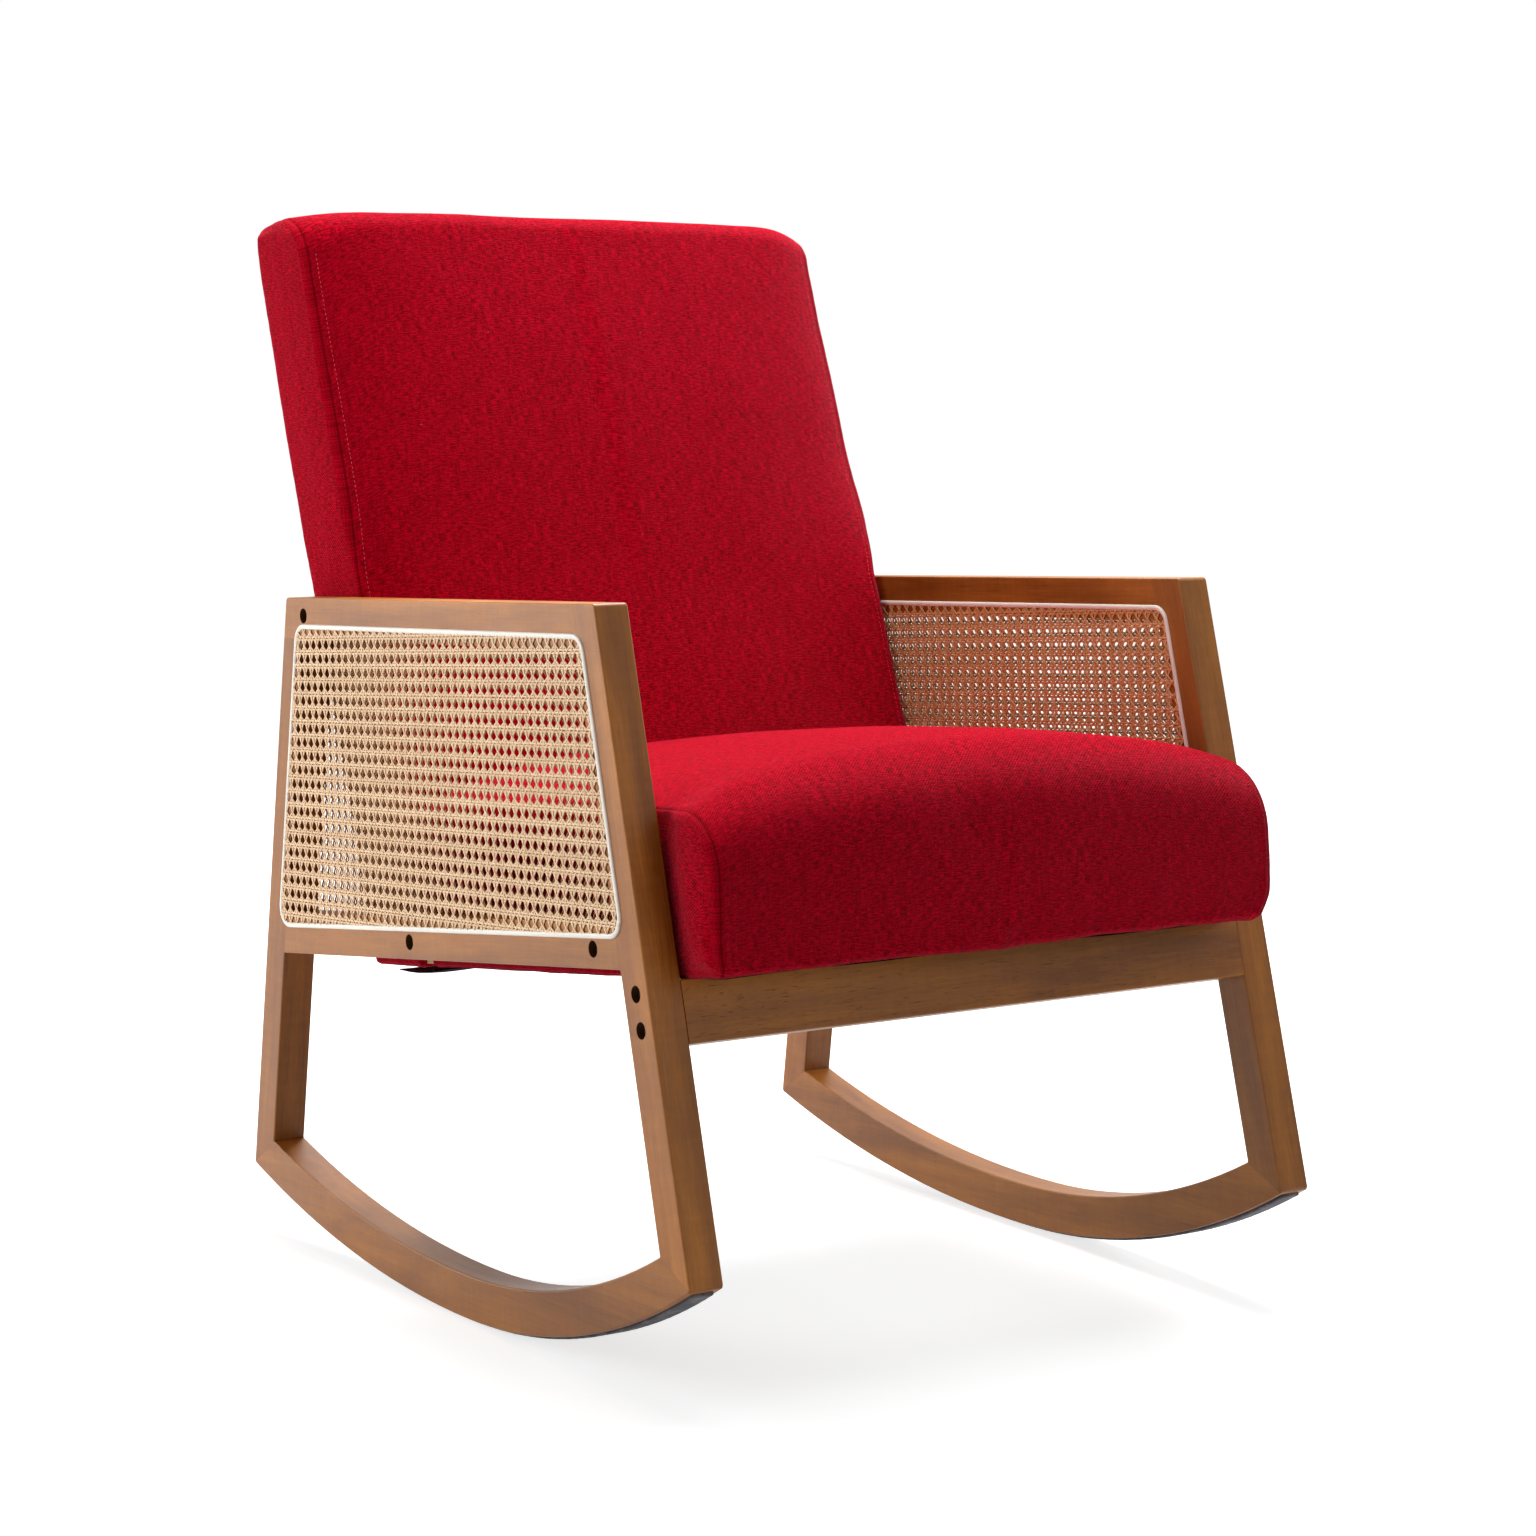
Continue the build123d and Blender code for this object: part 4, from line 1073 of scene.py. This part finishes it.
# ---- flat cloth ----
def cloth_sheet(name, columns, rows, place, thickness, material, size):
    """A thin closed sheet from a grid: place(u, v) gives its middle and its normal."""
    verts, flat = [], []
    for side in (0.5, -0.5):
        for r in range(rows + 1):
            for c in range(columns + 1):
                p, up = place(c / columns, r / rows)
                verts.append(p + up * (thickness * side))
                flat.append((c / columns * size[0], r / rows * size[1]))
    n = columns + 1
    layer = n * (rows + 1)
    faces = []
    for a in (r * n + c for r in range(rows) for c in range(columns)):
        faces.append((a, a + 1, a + 1 + n, a + n))
        faces.append((layer + a + n, layer + a + 1 + n, layer + a + 1, layer + a))
    border = list(range(n)) + [r * n + columns for r in range(1, rows + 1)]
    border += [rows * n + c for c in range(columns - 1, -1, -1)] + [r * n for r in range(rows - 1, 0, -1)]
    faces += [(b, a, a + layer, b + layer) for a, b in zip(border, border[1:] + border[:1])]
    return make_object(name, verts, faces, material, [[flat[k] for k in face] for face in faces])


# ---- making steps ----
class ROCKER_OT_effects(bpy.types.Operator):
    """Make the grain, weave and fibre effects that the finishes share"""

    bl_idname = "rocker.effects"
    bl_label = "Shared effects"

    def execute(self, context):
        make_wood_grain()
        make_wear()
        make_woven_cloth()
        make_fibre()
        return {"FINISHED"}


class ROCKER_OT_cloth(bpy.types.Operator):
    """Make the upholstery cloth and the sewing thread"""

    bl_idname = "rocker.cloth"
    bl_label = "Cloth and thread"

    def execute(self, context):
        shades = colours()
        cloth_finish("Upholstery cloth", shades.cloth, shades.cloth_dark, 0.0008, 0.00030, lint=0.8)
        thread = Finish("Sewing thread", roughness=0.6, sheen_weight=0.2)
        twist = thread.cloud(thread.place, 2600.0)
        thread.lay(thread.mix(twist, rgba(shades.cloth), (0.85, 0.10, 0.14, 1)), twist, 0.0001)
        return {"FINISHED"}


class ROCKER_OT_wood(bpy.types.Operator):
    """Finish the side frames and the front rail in stained wood"""

    bl_idname = "rocker.wood"
    bl_label = "Wooden frame"

    def execute(self, context):
        light, dark = colours().wood_light, colours().wood_dark
        joints = joint_planes()
        seed = 1
        for side in SIDES:
            front_edge = (inner(ARM_FRONT, EDGE_FRONT), EDGE_FRONT)
            corner = (front_edge, long_axis("front_leg_" + side), seed + 1)
            for member in ("arm_rail", "front_leg", "back_leg", "side_rail", "rocker"):
                name = member + "_" + side
                # The lift carries painted light and shade as well as the board's tone.
                lift = BOARD_TONES_AND_PAINTED_LIGHT.get(name, 1.0)
                tones = [[c * lift for c in tone] for tone in (light, dark)]
                finish = wood_finish(
                    "Stained wood " + name, long_axis(name), seed, *tones, 0.35,
                    joints.get(member, ()), BORES.get(member, ()), corner=corner,
                )
                finish_node(name, finish)
                seed += 1
                corner = None
        across = Vector((1, 0, 0))
        finish_node("front_rail", wood_finish("Stained wood front_rail", across, seed, light, dark, 1.0))
        return {"FINISHED"}


class ROCKER_OT_inner_frame(bpy.types.Operator):
    """Finish the plain wooden frame and webbing inside the upholstery"""

    bl_idname = "rocker.inner_frame"
    bl_label = "Inner frame"

    def execute(self, context):
        light, dark = (0.62, 0.44, 0.25), (0.42, 0.27, 0.13)
        names = (
            "seat_front_rail", "seat_side_rail_left", "seat_side_rail_right", "back_stile_left",
            "back_stile_right", "back_bottom_rail", "back_mid_rail", "back_top_rail", "seat_corner_blocks",
            "frame_dowels_left", "frame_dowels_right",
        )
        for seed, name in enumerate(names, 30):
            axis = long_axis(name)
            finish_node(name, wood_finish("Plain wood " + name, axis, seed, light, dark, 0.2, rough=0.2))
        light, dark = (0.34, 0.28, 0.20), (0.12, 0.09, 0.06)
        webbing = cloth_finish("Webbing", light, dark, 0.0016, 0.0004, cut=False, sheen=0.1)
        for name in ("seat_webbing", "back_webbing"):
            finish_node(name, webbing)
        return {"FINISHED"}


class ROCKER_OT_cane(bpy.types.Operator):
    """Weave the four cane panels and finish the reed splines round them"""

    bl_idname = "rocker.cane"
    bl_label = "Cane panels"

    def execute(self, context):
        shades = colours()
        tones = (shades.cane, shades.cane_dark)
        # Painted shade: the inner sheets get a darker, more amber copy of the cane colours.
        inside = [[c * k for c, k in zip(tone, (0.80, 0.62, 0.42))] for tone in tones]
        cane = {
            "outer": fibre_finish("Cane strands", *tones, 0.00008, woven=True),
            "inner": fibre_finish("Cane strands in painted shade", *inside, 0.00008, woven=True),
        }
        reed = fibre_finish("Reed spline", shades.spline, rgba(shades.spline, 0.86)[:3], 0.00005, woven=False)
        first_hole = {"outer": (-0.0027, 0.4541), "inner": (-0.0071, 0.4502)}
        panels = []
        for side, sign in SIDES.items():
            panels += [("outer", "outer_" + side, sign), ("inner", "inner_" + side, -sign)]
        for layer, end, outward in panels:
            weave_panel("woven_cane_" + end, "cane_" + end, outward, first_hole[layer], cane[layer])
        for layer, end, outward in panels:
            reed_loop("reed_spline_" + end, "spline_" + end, outward, reed)
        return {"FINISHED"}


class ROCKER_OT_seat(bpy.types.Operator):
    """Upholster the seat"""

    bl_idname = "rocker.seat"
    bl_label = "Seat cushion"

    def execute(self, context):
        seam_x = settings().half_width

        def held(y, z):
            return (on_seat(y, z)[1] < UNDERSIDE + 0.005) | (on_back(y, z)[0] < 0.011)

        def pulls(p):
            x, y, z = p[0], p[1] - DRAWN_Y, p[2] - DRAWN_Z
            m = on_seat(y, z)[1]
            low = exp(-((m - UNDERSIDE) / 0.030) ** 2)
            at_front = 1.0 if y < -0.33 else 0.0
            pull = 0.0007 * noise(Vector((x * 34, 3.1, m * 9))) * low * at_front
            edge = exp(-((abs(x) - seam_x) / 0.010) ** 2)
            return pull + 0.0003 * edge * noise(Vector((x * 20, y * 120, z * 120)))

        upholster("seat_upholstery", "seat_cushion", seat_form(), held, 0.0013, 13.0, pulls)
        return {"FINISHED"}


class ROCKER_OT_back(bpy.types.Operator):
    """Upholster the back and stitch beside its seams"""

    bl_idname = "rocker.back"
    bl_label = "Back cushion"

    def execute(self, context):
        seam_x = settings().half_width

        def held(y, z):
            n, t = on_back(y, z)
            return (on_seat(y, z)[1] < 0.48) | (n < -0.102) | ((n < -0.09) & (t > 0.98))

        def pulls(p):
            edge = exp(-((abs(p[0]) - seam_x) / 0.012) ** 2)
            return 0.0003 * edge * noise(Vector((p[0] * 20, p[1] * 110, p[2] * 110)))

        form = back_form()
        obj = upholster("back_upholstery", "back_cushion", form, held, 0.0012, 9.0, pulls)
        thread = bpy.data.materials["Sewing thread"]
        for side, ring in (("left", form.first + 3), ("right", form.last - 3)):
            stitch_row("topstitch_" + side, obj, form.line(ring, 30, ARC_STEPS + BACK_GRID[0]), thread)
        return {"FINISHED"}


class ROCKER_OT_rear_panel(bpy.types.Operator):
    """Stretch the cloth panel over the rear of the back"""

    bl_idname = "rocker.rear_panel"
    bl_label = "Rear panel"

    def execute(self, context):
        low_t = 0.340
        wide, high = size = (2 * (settings().half_width - 0.0075), 1.020 - low_t)
        up = Vector((0.0, cos(BACK_TILT), -sin(BACK_TILT)))

        def place(u, v):
            x = wide * (u - 0.5)
            t = low_t + high * v
            rim = min(u * wide, (1 - u) * wide, v * high, (1 - v) * high)
            hem = exp(-(max(0.0, rim - 0.004) / 0.006) ** 2)
            wave = 0.0008 * noise(Vector((x * 9, t * 5, 2.0))) * min(1.0, rim / 0.12)
            pucker = 0.00035 * noise(Vector((x * 60, t * 60, 5.0))) * exp(-(rim / 0.03) ** 2)
            n = BACK_REAR - 0.0008 + top_turn(t) * 0.007 - (0.0009 * hem + wave + pucker)
            return Vector((x, *packed(back_point(n, t)))), up

        cloth = bpy.data.materials["Upholstery cloth"]
        obj = cloth_sheet("rear_panel", 90, 110, place, 0.0012, cloth, size)
        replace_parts(obj, "back_panel")
        return {"FINISHED"}


class ROCKER_OT_dust_cover(bpy.types.Operator):
    """Hang the black cloth under the seat, with its frayed rear edge"""

    bl_idname = "rocker.dust_cover"
    bl_label = "Dust cover"

    def execute(self, context):
        front_s = -0.392
        wide, deep = size = (0.536, 0.163 - front_s)
        up = Vector((0.0, sin(SEAT_TILT), cos(SEAT_TILT)))

        def place(u, v):
            x = wide * (u - 0.5)
            ragged = 0.006 * (shade(int(u * 60) + 3) - 0.5) * max(0.0, (v - 0.985) / 0.015)
            s = front_s + deep * v + ragged
            belly = sin(pi * min(1.0, v * 1.02)) * sin(pi * u)
            loose = exp(-((u - 0.04) / 0.10) ** 2) * exp(-((v - 0.93) / 0.10) ** 2)
            hang = 0.0016 + 0.0045 * belly + 0.0075 * loose
            hang += 0.0012 * noise(Vector((x * 14, s * 9, 1.0)))
            return Vector((x, *packed(seat_point(s, UNDERSIDE - hang)))), up

        light, dark = (0.022, 0.021, 0.022), (0.004, 0.004, 0.004)
        black = cloth_finish("Black lining", light, dark, 0.0007, 0.0002, sheen=0.15)
        obj = cloth_sheet("dust_lining", 120, 110, place, 0.0006, black, size)
        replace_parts(obj, "dust_cover")
        self.fray(place, black)
        return {"FINISHED"}

    def fray(self, place, material):
        """Loose threads at one end of the lining's rear edge."""
        verts, faces = [], []
        count = 26
        for i in range(count):
            start = place(0.005 + 0.16 * i / count, 1.0)[0]
            reach = 0.004 + 0.011 * shade(i + 50)
            lean = Vector((shade(i + 70) - 0.5, 1.2, -0.9 - shade(i + 90))).normalized()
            faces += tube_faces(len(verts), 4, 3)
            for k in range(4):
                p = start + lean * (reach * k / 3) + Vector((0, 0, -0.003 * (k / 3) ** 2))
                radius = 0.00025 * (1 - 0.2 * k)
                for corner in range(3):
                    angle = 2 * pi * corner / 3
                    verts.append(p + Vector((cos(angle), 0.0, sin(angle))) * radius)
        make_object("lining_threads", verts, faces, material)


class ROCKER_OT_felt(bpy.types.Operator):
    """Stick the felt strips under the rockers"""

    bl_idname = "rocker.felt"
    bl_label = "Felt strips"

    def execute(self, context):
        felt = Finish("Felt", roughness=0.95, specular_ior_level=0.1, sheen_weight=0.3)
        tone = colours().felt
        fuzz = felt.cloud(felt.place, 1400.0, 3.0, 0.7)
        dust = felt.times(felt.patches(felt.place, 60.0, 0.6), 0.5)
        colour = felt.mix(felt.ranged(fuzz, 0.3, 0.7), rgba(tone, 0.55), rgba(tone))
        material = felt.lay(felt.mix(dust, colour, (0.42, 0.40, 0.42, 1)), fuzz, 0.0006)
        for side in SIDES:
            self.strip("felt_strip_" + side, "rocker_felt_" + side, material)
        return {"FINISHED"}

    def strip(self, name, node_name, material):
        """A strip that follows the rocker's two arcs, a little rough on its worn side."""
        low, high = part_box(node_name)
        blend_y = ROCKER_CENTRE_BACK[0] - ROCKER_BACK * sin(ROCKER_BLEND)
        middle = (low.x + high.x) / 2
        half = (high.x - low.x) / 2 - 0.0002
        count, thickness = 260, 0.0024
        half_section = ((1, 0.0), (1, 0.7), (0.93, 1.0), (0.5, 1.0))
        section = [(-x, deep) for x, deep in half_section] + [(0, 1.0), *reversed(half_section)]
        verts = []
        for i in range(count + 1):
            y = low.y + 0.0006 + (high.y - low.y - 0.0012) * i / count - DRAWN_Y
            centre, radius = ROCKER_CENTRE_BACK, ROCKER_BACK
            if y < blend_y:
                centre, radius = ROCKER_CENTRE_FRONT, ROCKER_FRONT
            slope = (y - centre[0]) / radius
            down = (slope, -sqrt(1 - slope * slope))
            for k, (across, deep) in enumerate(section):
                rough = 0.00018 * noise(Vector((across * 3 + k, y * 240, half)))
                py, pz = packed(along(centre, down, radius + deep * thickness + rough * deep))
                side = 0.8 if across > 0 else -0.8
                verts.append((middle + across * half + rough * side, py, max(pz, low.z + 0.00002)))
        obj = make_object(name, verts, tube_faces(0, count + 1, len(section)), material)
        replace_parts(obj, node_name)


class ROCKER_OT_hardware(bpy.types.Operator):
    """Finish the bolts, nuts and spacers"""

    bl_idname = "rocker.hardware"
    bl_label = "Hardware"

    def execute(self, context):
        blackened = ("Blackened steel", (0.045, 0.040, 0.036), (0.015, 0.013, 0.012), 0.8, 0.42)
        zinc = ("Zinc-plated steel", (0.62, 0.61, 0.58), (0.42, 0.41, 0.38), 1.0, 0.34)
        plastic = ("Black plastic", (0.04, 0.04, 0.04), (0.02, 0.02, 0.02), 0.0, 0.55)
        for (name, light, dark, metallic, rough), nodes in (
            (blackened, ("unit_bolts", "rail_bolts")),
            (zinc, ("insert_nuts", "barrel_nuts")),
            (plastic, ("spacers",)),
        ):
            metal = Finish(name, metallic=metallic)
            mask = metal.patches(metal.place, 220.0, 0.5)
            relief = metal.cloud(metal.place, 1800.0)
            colour = metal.mix(mask, rgba(light), rgba(dark))
            metal.lay(colour, relief, 0.00003, metal.ranged(mask, 0.0, 1.0, rough, rough + 0.15))
            for part in nodes:
                finish_node(part, metal.material)
        return {"FINISHED"}


class ROCKER_OT_stage(bpy.types.Operator):
    """Set up the floor, the lamps, the sky and the camera"""

    bl_idname = "rocker.stage"
    bl_label = "Studio"

    def execute(self, context):
        self.floor()
        self.sky()
        for name, place, size, power in (
            ("Rear left", (-2.2, 2.4, 1.1), 1.5, 42.0),
            ("Left", (-3.4, 0.4, 1.2), 1.6, 44.0),
            ("Top", (0.35, 0.1, 2.5), 1.6, 40.0),
            ("Top rear", (0.8, 1.6, 3.5), 2.0, 205.0),
            ("Front", (1.0, -3.6, 1.4), 2.0, 11.0),
            ("Right", (3.2, 0.0, 2.0), 2.0, 52.0),
        ):
            self.lamp(name, Vector(place), size, power)
        self.camera()
        bpy.context.scene.view_settings.view_transform = "Standard"
        return {"FINISHED"}

    def floor(self):
        """A pale floor that keeps the shadow and turns plain white away from the chair."""
        steps, radius = 96, 14.0
        rim = [2 * pi * k / steps for k in range(steps)]
        verts = [(0.0, 0.0, 0.0)] + [(radius * cos(a), radius * sin(a), 0.0) for a in rim]
        mesh = bpy.data.meshes.new("studio_floor")
        mesh.from_pydata(verts, [], [(0, k + 1, (k + 1) % steps + 1) for k in range(steps)])
        obj = bpy.data.objects.new("studio_floor", mesh)
        bpy.context.scene.collection.objects.link(obj)
        paint = Finish("Studio floor", roughness=0.9, specular_ior_level=0.0)
        grit = paint.cloud(paint.place, 40.0)
        colour = paint.mix(grit, (0.50, 0.50, 0.50, 1), (0.52, 0.52, 0.52, 1))
        away = paint.node("VectorMath", {0: paint.place}, operation="LENGTH")["Value"]
        strength = paint.times(self.seen(paint), paint.ranged(away, 0.7, 2.2, 0.70, 1.0))
        glow = paint.node("Emission", {"Strength": strength})[0]
        paint.feed(paint.surface.inputs, {"Base Color": colour})
        total = paint.node("AddShader", {0: paint.surface.outputs[0], 1: glow})[0]
        paint.feed(paint.tree.nodes["Material Output"].inputs, {"Surface": total})
        mesh.materials.append(paint.material)

    def seen(self, wiring):
        """One for rays from the camera and for reflections, nothing for the light itself."""
        path = wiring.node("LightPath", {})
        mirrored = wiring.maths("MAXIMUM", path["Is Glossy Ray"], path["Is Transmission Ray"])
        return wiring.maths("MAXIMUM", path["Is Camera Ray"], mirrored)

    def sky(self):
        """A white sky to look at, which lights the chair only faintly."""
        light = 0.12
        world = bpy.data.worlds.new("Studio sky")
        world.use_nodes = True
        air = Wiring(world.node_tree)
        strength = air.times_plus(self.seen(air), 1.0 - light, light)
        air.feed(air.tree.nodes["Background"].inputs, {"Strength": strength, "Color": (1, 1, 1, 1)})
        bpy.context.scene.world = world

    def lamp(self, name, place, size, power):
        """A square lamp turned to the middle of the chair."""
        light = bpy.data.lights.new(name, "AREA")
        light.shape = "SQUARE"
        light.size = size
        light.energy = power
        obj = bpy.data.objects.new(name, light)
        bpy.context.scene.collection.objects.link(obj)
        obj.visible_camera = False
        obj.location = place
        obj.rotation_euler = (Vector((0.0, 0.0, 0.5)) - place).to_track_quat("-Z", "Y").to_euler()

    def camera(self):
        camera = bpy.data.cameras.new("Camera")
        camera.lens = 84.198
        camera.sensor_width = 36.0
        camera.shift_x = -0.0018
        camera.shift_y = -0.1231
        camera.clip_end = 60.0
        viewer = bpy.data.objects.new("Camera", camera)
        bpy.context.scene.collection.objects.link(viewer)
        right = Vector((0.83473, -0.55066, 0.0))
        up = Vector((0.03426, 0.05193, 0.99806))
        back = -Vector((0.54959, 0.83311, -0.06222))
        place = Matrix((right, up, back)).transposed().to_4x4()
        place.translation = Vector((-1.78431, -2.75725, 0.83388))
        viewer.matrix_world = place
        bpy.context.scene.camera = viewer


STEPS = (
    ROCKER_OT_effects,
    ROCKER_OT_cloth,
    ROCKER_OT_wood,
    ROCKER_OT_inner_frame,
    ROCKER_OT_cane,
    ROCKER_OT_seat,
    ROCKER_OT_back,
    ROCKER_OT_rear_panel,
    ROCKER_OT_dust_cover,
    ROCKER_OT_felt,
    ROCKER_OT_hardware,
    ROCKER_OT_stage,
)


class ROCKER_PT_panel(bpy.types.Panel):
    """The rocking chair's sizes, colours and making steps"""

    bl_label = "Rocking chair"
    bl_idname = "ROCKER_PT_panel"
    bl_space_type = "VIEW_3D"
    bl_region_type = "UI"
    bl_category = "Rocker"

    def draw(self, context):
        for group in (context.scene.rocker_sizes, context.scene.rocker_colours):
            for prop in group.bl_rna.properties:
                if not prop.is_readonly and prop.identifier != "name":
                    self.layout.prop(group, prop.identifier)
        for step in STEPS:
            self.layout.operator(step.bl_idname)


CLASSES = (RockerSizes, RockerColours, *STEPS, ROCKER_PT_panel)


def register():
    for cls in CLASSES:
        bpy.utils.register_class(cls)
    bpy.types.Scene.rocker_sizes = PointerProperty(type=RockerSizes)
    bpy.types.Scene.rocker_colours = PointerProperty(type=RockerColours)


def unregister():
    del bpy.types.Scene.rocker_colours
    del bpy.types.Scene.rocker_sizes
    for cls in reversed(CLASSES):
        bpy.utils.unregister_class(cls)


def main():
    register()
    bpy.ops.rocker.effects()
    bpy.ops.rocker.cloth()
    bpy.ops.rocker.wood()
    bpy.ops.rocker.inner_frame()
    bpy.ops.rocker.cane()
    bpy.ops.rocker.seat()
    bpy.ops.rocker.back()
    bpy.ops.rocker.rear_panel()
    bpy.ops.rocker.dust_cover()
    bpy.ops.rocker.felt()
    bpy.ops.rocker.hardware()
    bpy.ops.rocker.stage()


if __name__ == "__main__":
    main()
